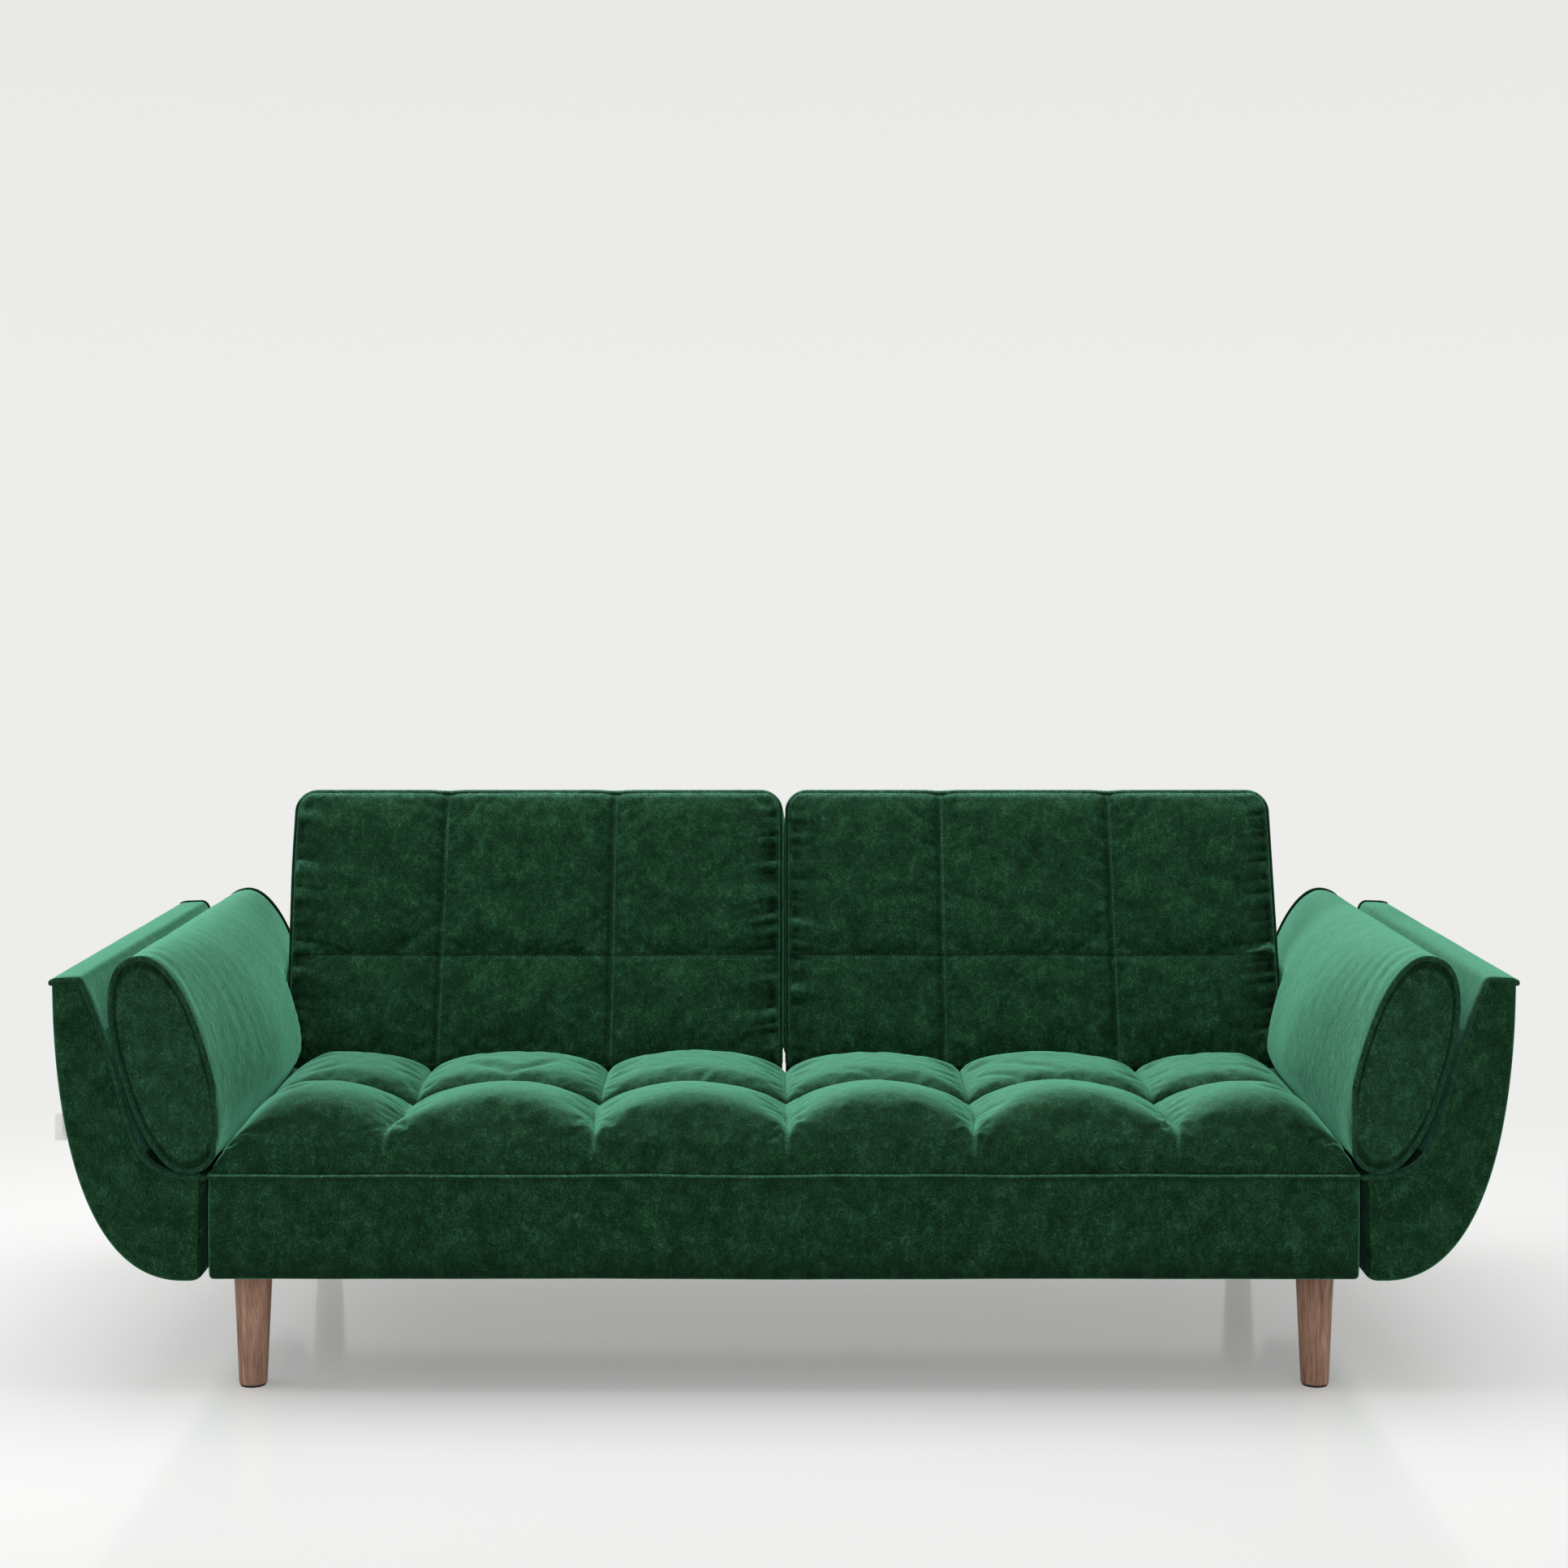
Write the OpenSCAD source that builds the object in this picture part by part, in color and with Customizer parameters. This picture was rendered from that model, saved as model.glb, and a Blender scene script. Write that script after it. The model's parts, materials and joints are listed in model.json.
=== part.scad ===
// Three-seat futon sofa bed with a split click-clack back, tufted seat,
// two curved arm wings and two loose oval bolsters.
// Origin: floor level, centre of the footprint. +X right, +Y back, +Z up.

/* [Seat] */
// Width of the seat between the arm wings
seat_w = 1800; // [1560:10:2100]
// Depth of the seat cushion
seat_d = 515; // [480:5:560]
// Height of the upholstered seat box
box_h = 160; // [150:5:200]
// Height of the puffs above the seam
crown_h = 125; // [90:2:130]
// Columns of puffs
puff_cols = 6; // [3:1:8]
// Rows of puffs
puff_rows = 2; // [1:1:3]
// Thickness of the padded borders
pad_t = 12; // [8:1:16]
// Diameter of the piping cord
cord_d = 8; // [6:0.5:9]
// How far the piping stands out from the cover
cord_proud = 3; // [1:0.5:4]

/* [Frame] */
// Thickness of the outer timber rails
rail_t = 22; // [18:1:26]
// Height of the timber rails
rail_h = 100; // [90:2:104]
// Thickness of the rail below the back edge of the seat
mid_rail_t = 42; // [36:1:50]
// Thickness of the joists
joist_t = 30; // [20:1:40]
// Depth of the base behind the seat
rear_d = 310; // [280:5:340]
// Thickness of the deck board behind the seat
deck_t = 10; // [8:1:12]
// Side of the corner blocks
block_w = 110; // [100:1:130]
// Height of the corner blocks
block_h = 60; // [40:1:80]
// Thickness of the dust cover
dust_t = 1.5; // [1:0.5:2.5]

/* [Springs] */
// Number of sinuous springs under the seat
spring_n = 8; // [5:1:12]
// Number of sinuous springs in each back
back_spring_n = 3; // [2:1:5]
// Diameter of the spring wire
wire_d = 4; // [3:0.5:5]
// Width of a sinuous spring
spring_w = 72; // [66:2:90]
// Half loops in a seat spring
spring_loops = 10; // [8:2:16]
// Half loops in a back spring
back_loops = 10; // [6:2:12]
// Thickness of the felt over the springs
felt_t = 4; // [2:0.5:6]

/* [Legs] */
// Height of the seat box above the floor
leg_h = 180; // [120:5:240]
// Diameter of a leg at its top
leg_top_d = 60; // [50:1:70]
// Diameter of a leg at its foot
leg_foot_d = 44; // [36:1:50]
// Distance from the sides of the box to the middle of a leg
leg_inset = 62; // [56:1:70]
// Thickness of the glide under a leg
glide_t = 4; // [2:0.5:6]
// Thickness of the leg plates
plate_t = 2.5; // [2:0.5:4]
// Diameter of the leg bolts
bolt_d = 8; // [6:1:10]

/* [Wings] */
// Width of an arm wing from its inner face to its lip
wing_w = 239; // [220:1:260]
// Height of a wing's lip above the bottom of the wing
wing_h = 475; // [440:5:520]
// Height of the ledge that carries the bolster, above the bottom of the wing
ledge_h = 166; // [150:1:180]
// Length of a wing from front to back
wing_d = 900; // [860:10:960]
// Gap between the seat box and a wing
wing_gap = 3; // [1:0.5:8]
// How far the wings hang below the seat box
wing_drop = 3; // [0:1:10]
// Width of the lip along the top of a wing
lip_w = 42; // [34:1:48]
// Thickness of the foam round the wing frame
wing_pad_t = 14; // [10:1:16]
// Thickness of the wing ribs
rib_t = 15; // [12:1:22]
// Thickness of the wing boards
board_t = 18; // [12:1:24]

/* [Bolsters] */
// Height of a bolster's oval section
bolster_h = 351; // [320:1:380]
// Thickness of a bolster's oval section
bolster_t = 139; // [110:1:142]
// Length of a bolster
bolster_l = 845; // [760:5:860]
// Outward lean of a bolster in degrees
bolster_lean = 17; // [14:0.5:19]
// Distance from the wing's inner face to the middle of the bolster
bolster_out = 63; // [60:0.5:66]
// Clearance under a bolster
bolster_gap = 0.4; // [0.3:0.1:1]

/* [Backs] */
// Length of a back along its slope
back_h = 470; // [430:5:500]
// Thickness of a back
back_t = 150; // [140:2:160]
// Corner radius at the top of the backs
back_r = 40; // [30:1:60]
// Corner radius at the foot of the backs
back_foot_r = 18; // [16:1:30]
// Gap between the two backs
back_gap = 4; // [3:0.5:12]
// Gap between a back and the inner face of a wing
back_side_gap = 14; // [10:1:24]
// Lean of the backs when they stand, in degrees
recline = 20; // [12:1:26]
// Depth of the quilting seams
quilt_depth = 9; // [4:1:12]

/* [Hinges] */
// Distance of the hinge pin behind the seat
pin_back = 25; // [22:1:30]
// Height of the hinge pin above the seat seam
pin_up = 68; // [66:1:76]
// Distance from the hinge pin to the bottom of a back
pin_to_back = 25; // [22:1:34]
// Distance from the hinge pin to the front of a back
pin_to_face = 40; // [34:1:46]
// Diameter of the hinge rivets
pin_d = 12; // [8:1:14]
// Running clearance round a rivet
pin_gap = 0.05; // [0.03:0.01:0.1]
// Diameter of the eyes of the hinge plates
eye_d = 36; // [30:1:40]
// Thickness of the hinge plates
hinge_t = 5; // [4:0.5:6]

/* [Hidden] */
$fn = 48;

velvet = "#1f4a32";
velvet_light = "#2c6646";
timber = "#c9a578";
walnut = "#8a6450";
foam = "#e8dfb8";
steel = "#9aa0a6";
black = "#22242a";

cord_r = cord_d / 2;
wire_r = wire_d / 2;
y_front = -wing_d / 2;

// Base levels
frame_z = leg_h + plate_t;
rail_top = frame_z + rail_h;
seam_z = leg_h + box_h;
clip_wall = 1.2;
clip_slack = 0.1;
clip_r = wire_r + clip_slack + clip_wall;
felt_z = rail_top + 2 * clip_r;
foam_z = felt_z + felt_t;
flange_t = 2;
foam_top = seam_z - flange_t / 2;

// Base outlines
frame_x = seat_w / 2 - cord_proud - pad_t;
frame_front = y_front + cord_proud + pad_t;
seat_back = y_front + seat_d;
panel_y = seat_back - cord_proud - pad_t;
mid_y = panel_y - 15;
mid_back = mid_y + mid_rail_t;
frame_back = seat_back + rear_d - cord_proud - pad_t;
deck_y = panel_y + pad_t;
inner_x = frame_x - rail_t;
deck_drop = 0.5;

// Leg places
leg_x = seat_w / 2 - leg_inset;
leg_y = [y_front + leg_inset, seat_back + rear_d - leg_inset];
plate_w = 60;

// Wing places
wing_x = seat_w / 2 + wing_gap;
wing_z = leg_h - wing_drop;
bolt_ys = [
  frame_front + rail_t + block_w + 40,
  mid_y - 60,
  mid_back + 50,
  frame_back - rail_t - block_w - 30
];
wing_bolt_z = frame_z + rail_h / 2;

// Hinge places
pin_y = seat_back + pin_back;
pin_z = seam_z + pin_up;
back_w = wing_x - back_side_gap - back_gap / 2;
back_x = back_gap / 2 + back_w / 2;
flat_z = pin_z - (back_t - pin_to_face);
deck_cover_t = flat_z - rail_top - deck_t - deck_drop;
deck_top = rail_top + deck_t + deck_cover_t;
stile_w = 45;
arm_x = back_w / 2 - cord_proud - pad_t - stile_w;
hinge_play = 0.3;

function quarter(c, r, a0, a1, n) =
  [for (i = [0 : n]) c + r * [cos(a0 + (a1 - a0) * i / n), sin(a0 + (a1 - a0) * i / n)]];
function bezier(p, t) =
  pow(1 - t, 3) * p[0] + 3 * t * pow(1 - t, 2) * p[1] + 3 * t * t * (1 - t) * p[2] + pow(t, 3) * p[3];
function unit(v) = v / norm(v);
function spow(v, e) = sign(v) * pow(abs(v), e);

// A tube along points, with ring_n sides. The points lie in a plane whose normal is n.
function ring_normals(path, n, closed) = let (k = len(path)) [
  for (i = [0 : k - 1]) let (
    a = path[closed ? (i + k - 1) % k : max(0, i - 1)],
    b = path[closed ? (i + 1) % k : min(k - 1, i + 1)]
  ) unit(cross(unit(b - a), n))
];

module cord(path, n, closed = false, ring_n = 6) {
  k = len(path);
  side = ring_normals(path, n, closed);
  points = [for (i = [0 : k - 1]) for (j = [0 : ring_n - 1])
    path[i] + cord_r * (cos(360 * j / ring_n) * side[i] + sin(360 * j / ring_n) * n)];
  walls = [for (i = [0 : (closed ? k : k - 1) - 1]) for (j = [0 : ring_n - 1]) let (
    a = i * ring_n + j,
    b = i * ring_n + (j + 1) % ring_n,
    c = ((i + 1) % k) * ring_n + (j + 1) % ring_n,
    d = ((i + 1) % k) * ring_n + j
  ) [a, b, c, d]];
  ends = closed ? [] : [
    [for (j = [ring_n - 1 : -1 : 0]) j],
    [for (j = [0 : ring_n - 1]) (k - 1) * ring_n + j]
  ];
  polyhedron(points, concat(walls, ends), convexity = 8);
}

// A rectangle with corner radius r at the top and foot below, centred on the origin
module rounded(w, h, r, foot) {
  translate([-(w / 2 - r), 0]) square([w - 2 * r, h / 2]);
  translate([-(w / 2 - foot), -h / 2]) square([w - 2 * foot, h / 2]);
  translate([-w / 2, foot - h / 2]) square([w, h - r - foot]);
  for (sx = [-1, 1]) {
    translate([sx * (w / 2 - r), h / 2 - r]) circle(r);
    translate([sx * (w / 2 - foot), foot - h / 2]) circle(foot);
  }
}

// A round cord round such a rectangle; its sizes are those of the cord's middle line
module cord_loop(w, h, r, foot) {
  translate([-(w / 2 - r), h / 2, 0]) rotate([0, 90, 0]) cylinder(r = cord_r, h = w - 2 * r);
  translate([-(w / 2 - foot), -h / 2, 0]) rotate([0, 90, 0]) cylinder(r = cord_r, h = w - 2 * foot);
  for (s = [-1, 1])
    translate([s * w / 2, h / 2 - r, 0]) rotate([90, 0, 0]) cylinder(r = cord_r, h = h - r - foot);
  for (q = [0 : 3]) {
    sx = q == 0 || q == 3 ? 1 : -1;
    sy = q < 2 ? 1 : -1;
    k = q < 2 ? r : foot;
    translate([sx * (w / 2 - k), sy * (h / 2 - k), 0])
      rotate([0, 0, 90 * q]) rotate_extrude(angle = 90) translate([k, 0]) circle(cord_r);
  }
}

// A closed sheet of cushion: grid points with rows of equal length, and a flat underside
module pillow(grid, floor_points) {
  rows = len(grid);
  cols = len(grid[0]);
  top = [for (row = grid) for (p = row) p];
  low = [for (row = floor_points) for (p = row) p];
  rim = concat(
    [for (i = [0 : cols - 1]) i],
    [for (j = [1 : rows - 1]) j * cols + cols - 1],
    [for (i = [cols - 2 : -1 : 0]) (rows - 1) * cols + i],
    [for (j = [rows - 2 : -1 : 1]) j * cols]
  );
  m = len(rim);
  n = len(top);
  skin = [for (j = [0 : rows - 2]) for (i = [0 : cols - 2]) for (half = [0, 1]) let (
    a = j * cols + i,
    b = a + 1,
    c = a + cols + 1,
    d = a + cols
  ) half == 0 ? [a, c, b] : [a, d, c]];
  walls = [for (k = [0 : m - 1]) [rim[k], rim[(k + 1) % m], n + (k + 1) % m, n + k]];
  under = [for (k = [0 : m - 1]) [n + m, n + k, n + (k + 1) % m]];
  middle = (low[0] + low[n - 1]) / 2;
  polyhedron(concat(top, [for (k = rim) low[k]], [middle]), concat(skin, walls, under), convexity = 8);
}

// ---------- Timber base ----------

module bar(x0, x1, y0, y1, z0, z1) {
  translate([x0, y0, z0]) cube([x1 - x0, y1 - y0, z1 - z0]);
}

module front_rail() {
  color(timber) bar(-frame_x, frame_x, frame_front, frame_front + rail_t, frame_z, rail_top);
}

module rear_rail() {
  color(timber) bar(-frame_x, frame_x, frame_back - rail_t, frame_back, frame_z, rail_top);
}

module side_rails() {
  color(timber) difference() {
    for (s = [-1, 1])
      bar(min(s * inner_x, s * frame_x), max(s * inner_x, s * frame_x),
          frame_front + rail_t, frame_back - rail_t, frame_z, rail_top);
    wing_bolt_bores(bolt_d / 2 + 0.2);
  }
}

module mid_rail() {
  color(timber) bar(-inner_x, inner_x, mid_y, mid_back, frame_z, rail_top);
}

module joists() {
  color(timber) for (s = [-1, 1]) {
    x = s * seat_w / 6;
    // The front joists stay below the springs
    bar(x - joist_t / 2, x + joist_t / 2, frame_front + rail_t, mid_y, frame_z, rail_top - 30);
    bar(x - joist_t / 2, x + joist_t / 2, mid_back, frame_back - rail_t, frame_z, rail_top);
  }
}

module at_legs() {
  for (sx = [-1, 1])
    for (row = [0, 1])
      translate([sx * leg_x, leg_y[row], 0]) mirror([sx > 0 ? 0 : 1, 0, 0])
        mirror([0, row == 0 ? 0 : 1, 0]) children();
}

module corner_blocks() {
  // Each block fills the inner corner of the rails over its leg
  inside = leg_inset - cord_proud - pad_t - rail_t;
  cut = block_w * 0.35;
  color(timber) at_legs() difference() {
    translate([inside, -inside, frame_z]) linear_extrude(block_h)
      polygon([[0, 0], [-block_w, 0], [-block_w, cut], [-cut, block_w], [0, block_w]]);
    translate([0, 0, frame_z - 1]) cylinder(r = bolt_d / 2, h = block_h + 2);
  }
}

// ---------- Springs ----------

// A sinuous spring along +Y from the origin
module sinuous(loops, run) {
  pitch = run / loops;
  half = spring_w / 2 - pitch / 2;
  for (i = [0 : loops - 1])
    translate([(i % 2 == 0 ? 1 : -1) * half, (i + 0.5) * pitch, 0])
      rotate([0, 0, i % 2 == 0 ? -90 : 90])
        rotate_extrude(angle = 180) translate([pitch / 2, 0]) circle(wire_r);
  for (i = [0 : loops])
    translate([-half, i * pitch, 0]) rotate([0, 90, 0]) cylinder(r = wire_r, h = 2 * half);
}

// A nailed clip round the end run of a spring; its tab points to -Y
module spring_clip() {
  clip_w = 14;
  tab = 7;
  translate([-clip_w / 2, 0, 0]) rotate([90, 0, 90]) linear_extrude(clip_w) difference() {
    union() {
      circle(clip_r);
      translate([-clip_r - tab, -clip_r]) square([clip_r + tab, clip_wall]);
    }
    circle(wire_r + clip_slack);
  }
}

spring_y0 = frame_front + rail_t / 2;
spring_y1 = mid_y + clip_r + 1;
spring_step = 2 * inner_x / spring_n;

module at_springs() {
  for (i = [0 : spring_n - 1])
    translate([-inner_x + (i + 0.5) * spring_step, spring_y0, rail_top + clip_r]) children();
}

module seat_springs() {
  color(steel) at_springs() sinuous(spring_loops, spring_y1 - spring_y0);
}

module spring_clips() {
  color(steel) at_springs() {
    spring_clip();
    translate([0, spring_y1 - spring_y0, 0]) mirror([0, 1, 0]) spring_clip();
  }
}

// ---------- Seat upholstery ----------

module seat_felt() {
  color("dimgray") bar(-frame_x, frame_x, frame_front, panel_y, felt_z, foam_z);
}

module seat_foam() {
  color(foam) bar(-frame_x, frame_x, frame_front, panel_y, foam_z, foam_top);
}

// The tufted topper: puffs between pleats, rolled over at the front, back and ends
pillow_in = cord_d + 0.5;
pillow_x = seat_w / 2 - pillow_in;
pillow_y0 = y_front + pillow_in;
pillow_y1 = seat_back - pillow_in;
skirt_h = 6;
tuft_low = 0.43;
pleat_rise = 0.26;
front_roll = 125;
rear_roll = 60;
end_roll = 112;

// Roundness across a puff: 1 in the middle, 0 at a pleat
function puff(u) = pow(max(0, 1 - u * u), 0.55);
function smooth(t) = let (c = min(1, max(0, t))) c * c * (3 - 2 * c);
// Position within a puff, from -1 to 1
function in_cell(s, n) = let (k = min(n - 1, floor(s * n))) 2 * (s * n - k) - 1;
function roll(d, r, e, f) = d >= r ? 1 : pow(1 - pow(1 - max(0, d) / r, e), f);
function seat_rise(x, y) = let (
  sx = (x + pillow_x) / (2 * pillow_x),
  sy = (y - pillow_y0) / (pillow_y1 - pillow_y0),
  u = in_cell(sx, puff_cols),
  v = in_cell(sy, puff_rows),
  side = sx < 1 / puff_cols / 2 || sx > 1 - 1 / puff_cols / 2,
  front = sy < 1 / puff_rows / 2,
  rear = sy > 1 - 1 / puff_rows / 2,
  bu = side ? 1 : puff(u),
  bv = front || rear ? 1 : puff(v),
  fade = smooth((y - pillow_y0 - 3) / 38),
  across = 1 - fade * (1 - bu),
  body = tuft_low + pleat_rise * across + pleat_rise * bv
       + (1 - tuft_low - 2 * pleat_rise) * across * bv,
  edge = roll(y - pillow_y0, front_roll, 2.1, 0.5) * roll(pillow_y1 - y, rear_roll, 2, 0.5)
       * roll(pillow_x - abs(x), end_roll, 1.6, 0.85)
) skirt_h + (crown_h - skirt_h) * body * edge;

module seat_cushion() {
  cols = 12 * puff_cols;
  rows = 22;
  // Rows lie closer together over the front and rear rolls
  ys = [for (j = [0 : rows]) let (t = j / rows)
    pillow_y0 + (pillow_y1 - pillow_y0) * (t - 0.1 * sin(360 * t) / 1.6)];
  // Columns lie closer together over the end rolls
  xs = [for (i = [0 : cols]) let (t = 2 * i / cols - 1) pillow_x * (t + 0.012 * sin(180 * t))];
  color(velvet_light) pillow(
    [for (y = ys) [for (x = xs) [x, y, foam_top + flange_t + seat_rise(x, y)]]],
    [for (y = ys) [for (x = xs) [x, y, foam_top + flange_t]]]
  );
}

seat_corner_r = 5;
module seat_piping() {
  middle = seat_w - cord_d;
  depth = seat_d - cord_d;
  color(velvet) translate([0, y_front + seat_d / 2, seam_z]) {
    cord_loop(middle, depth, seat_corner_r, seat_corner_r);
    // Sewing flange inside the cord
    linear_extrude(flange_t, center = true) difference() {
      square([middle - cord_d - 0.2, depth - cord_d - 0.2], center = true);
      square([middle - cord_d - 24, depth - cord_d - 24], center = true);
    }
  }
}

// Section of a border: outer face at pad_t, with a rounded lower edge
module border_section(h) {
  difference() {
    square([pad_t, h]);
    difference() {
      translate([pad_t - 5, -1]) square([6, 6]);
      translate([pad_t - 5, 5]) circle(5);
    }
  }
}

border_h = box_h - flange_t / 2;
border_r = 8;

// Room for the seat piping round the top of the borders
module piping_seat() {
  translate([0, y_front + seat_d / 2, seam_z - cord_r]) linear_extrude(cord_d) difference() {
    square([seat_w + 10, seat_d + 10], center = true);
    square([seat_w - 2 * cord_d, seat_d - 2 * cord_d], center = true);
  }
}

module front_border() {
  w = 2 * (frame_x + pad_t);
  color(velvet) difference() {
    intersection() {
      translate([w / 2, frame_front, leg_h]) rotate([90, 0, -90])
        linear_extrude(w) border_section(border_h);
      // Rounded front corners
      translate([0, y_front + cord_proud + border_h / 2, 0]) linear_extrude(seam_z)
        rounded(w, border_h, border_r, border_r);
    }
    piping_seat();
  }
}

module side_borders() {
  color(velvet) for (s = [-1, 1]) mirror([s > 0 ? 0 : 1, 0, 0]) {
    difference() {
      translate([frame_x, seat_back - cord_proud, leg_h]) rotate([90, 0, 0])
        linear_extrude(seat_back - cord_proud - frame_front) border_section(border_h);
      piping_seat();
      wing_bolt_bores(bolt_d / 2 + 0.2);
    }
    difference() {
      translate([frame_x, frame_back, leg_h]) rotate([90, 0, 0])
        linear_extrude(frame_back - seat_back + cord_proud) border_section(deck_top - leg_h);
      wing_bolt_bores(bolt_d / 2 + 0.2);
    }
  }
}

module rear_border() {
  w = 2 * (frame_x + pad_t);
  color(velvet) translate([-w / 2, frame_back, leg_h]) rotate([90, 0, 90])
    linear_extrude(w) border_section(deck_top - leg_h);
}

module seat_back_panel() {
  color(velvet) difference() {
    bar(-frame_x, frame_x, panel_y, panel_y + pad_t, rail_top, foam_top);
    piping_seat();
  }
}

module hinge_slots(z0, z1) {
  // Room for the hinge brackets
  at_hinges() translate([-hinge_t - 1, mid_back - pin_y - 3, z0 - pin_z])
    cube([hinge_t + 2, eye_d / 2 + pin_y - mid_back + 6, z1 - z0]);
}

module deck_board() {
  color(timber) difference() {
    bar(-frame_x, frame_x, deck_y, frame_back, rail_top, rail_top + deck_t);
    hinge_slots(rail_top - 1, rail_top + deck_t + 1);
  }
}

module deck_cover() {
  color(velvet) difference() {
    bar(-frame_x, frame_x, deck_y, frame_back, rail_top + deck_t, deck_top);
    hinge_slots(rail_top, deck_top + 1);
  }
}

module dust_cover() {
  hem = 3;
  color(black) difference() {
    bar(-frame_x + hem, frame_x - hem, frame_front + hem, frame_back - hem, frame_z - dust_t, frame_z);
    at_legs() translate([0, 0, frame_z - dust_t]) cube([plate_w + 1, plate_w + 1, 2 * dust_t + 1], center = true);
  }
}

// ---------- Legs ----------

spigot_r = 3;
spigot_h = 14;
bolt_in_leg = 32;

module leg() {
  difference() {
    translate([0, 0, glide_t])
      cylinder(r1 = leg_foot_d / 2, r2 = leg_top_d / 2, h = leg_h - glide_t);
    translate([0, 0, leg_h - bolt_in_leg]) cylinder(r = bolt_d / 2, h = bolt_in_leg + 1);
    cylinder(r = spigot_r, h = glide_t + spigot_h);
  }
}

module front_left_leg() { color(walnut) translate([-leg_x, leg_y[0], 0]) leg(); }
module front_right_leg() { color(walnut) translate([leg_x, leg_y[0], 0]) leg(); }
module rear_left_leg() { color(walnut) translate([-leg_x, leg_y[1], 0]) leg(); }
module rear_right_leg() { color(walnut) translate([leg_x, leg_y[1], 0]) leg(); }

module leg_plates() {
  color(steel) at_legs() difference() {
    translate([0, 0, leg_h]) linear_extrude(plate_t) rounded(plate_w, plate_w, 6);
    translate([0, 0, leg_h - 1]) cylinder(r = bolt_d / 2, h = plate_t + 2);
    for (a = [45 : 90 : 315])
      rotate([0, 0, a]) translate([plate_w / 2, 0, leg_h - 1]) cylinder(r = 2.2, h = plate_t + 2, $fn = 24);
  }
}

nut_h = 6.5;

module leg_bolts() {
  color(steel) at_legs() translate([0, 0, leg_h - bolt_in_leg])
    cylinder(r = bolt_d / 2, h = bolt_in_leg + plate_t + block_h + nut_h + 3);
}

module leg_nuts() {
  color(steel) at_legs() translate([0, 0, frame_z + block_h]) difference() {
    cylinder(r = bolt_d * 0.92, h = nut_h, $fn = 6);
    translate([0, 0, -1]) cylinder(r = bolt_d / 2, h = nut_h + 2);
  }
}

module leg_glides() {
  color(black) at_legs() {
    cylinder(r = leg_foot_d / 2 - 2, h = glide_t);
    cylinder(r = spigot_r, h = glide_t + spigot_h);
  }
}

// ---------- Wings ----------

// The wing's outline, with x out from its inner face and y up from its bottom.
// Each stretch is inset by its own amount: top (trough and lip), outer side, inner face.
outer_n = 20;
trough_n = 20;
lip_r = 14;
toe_r = 22;
function inset_points(p, d) = let (k = len(p)) [for (i = [0 : k - 1]) let (
  t = unit(p[min(k - 1, i + 1)] - p[max(0, i - 1)])
) p[i] + d * [-t[1], t[0]]];
lip_start = 160;
lip_centre = [wing_w - lip_w + lip_r, wing_h - lip_r];
// From the ledge at the inner face out along the trough, up to the lip
function trough_curve() = let (
  top = lip_centre + lip_r * [cos(lip_start), sin(lip_start)],
  pull = wing_h * 0.49 * [sin(lip_start), -cos(lip_start)],
  b = [[0, ledge_h], [wing_w * 0.61, ledge_h], top - pull, top]
) [for (i = [0 : trough_n]) bezier(b, i / trough_n)];
// The same line carried over the lip to its outer corner
function trough_line(d) = let (
  lip = [for (a = [lip_start - 14 : -14 : 90]) lip_centre + lip_r * [cos(a), sin(a)]],
  edge = [[wing_w - 10, wing_h - 1], [wing_w, wing_h - 3.5]]
) inset_points(concat(trough_curve(), lip, edge), -d);
// From the lip's outer corner down to the toe
function outer_line(d) = let (
  b = [[wing_w, wing_h - 3.5], [wing_w - 2, wing_h * 0.55], [wing_w * 0.72, 0], [wing_w * 0.145, 0]]
) inset_points([for (i = [0 : outer_n]) bezier(b, i / outer_n)], -d);
function wing_outline(top, outer, inner) = let (
  t = top < lip_r ? trough_line(top) : inset_points(trough_curve(), -top),
  o = outer_line(outer),
  corner = [o[0][0] - (top < lip_r ? 0 : 3), t[len(t) - 1][1]]
) concat(
  [for (p = t) if (p[0] > inner + 0.5 && p[0] < corner[0] - 0.5) p],
  [corner],
  [for (p = o) if (p[1] < corner[1] - 1 && p[0] > inner + toe_r) p],
  quarter([inner + toe_r, outer + toe_r], toe_r, -90, -180, 4),
  [[inner, t[0][1]]]
);

module along_wing(y0, y1) {
  translate([wing_x, y_front + y1, wing_z]) rotate([90, 0, 0]) linear_extrude(y1 - y0) children();
}

inner_cloth = 3;

module wing_pad() {
  difference() {
    union() {
      along_wing(0, cord_d) polygon(wing_outline(cord_d + 0.2, 4, 0));
      along_wing(cord_d, wing_d - cord_d) polygon(wing_outline(0, 0, 0));
      along_wing(wing_d - cord_d, wing_d) polygon(wing_outline(cord_d + 0.2, 4, 0));
    }
    along_wing(wing_pad_t, wing_d - wing_pad_t) polygon(wing_core());
    wing_bolt_bores(bolt_d / 2 + 0.2);
  }
}

function wing_core() = wing_outline(wing_pad_t, wing_pad_t, inner_cloth);

module wing_piping() {
  for (y = [y_front + cord_r, y_front + wing_d - cord_r])
    cord([for (p = trough_line(cord_r)) [wing_x + p[0], y, wing_z + p[1]]], [0, 1, 0]);
}

board_low = wing_pad_t + toe_r + 1;
module board_section() {
  translate([inner_cloth, board_low]) square([board_t, ledge_h - wing_pad_t - 1 - board_low]);
}

rib_n = 4;
rib_span = wing_d - 2 * wing_pad_t - rib_t;

module wing_ribs() {
  for (i = [0 : rib_n - 1]) {
    y = wing_pad_t + i * rib_span / (rib_n - 1);
    along_wing(y, y + rib_t) difference() {
      polygon(wing_core());
      board_section();
      lip_section();
      // Lightening hole
      translate([wing_w * 0.44, ledge_h * 0.56]) circle(ledge_h * 0.2);
    }
  }
}

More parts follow.
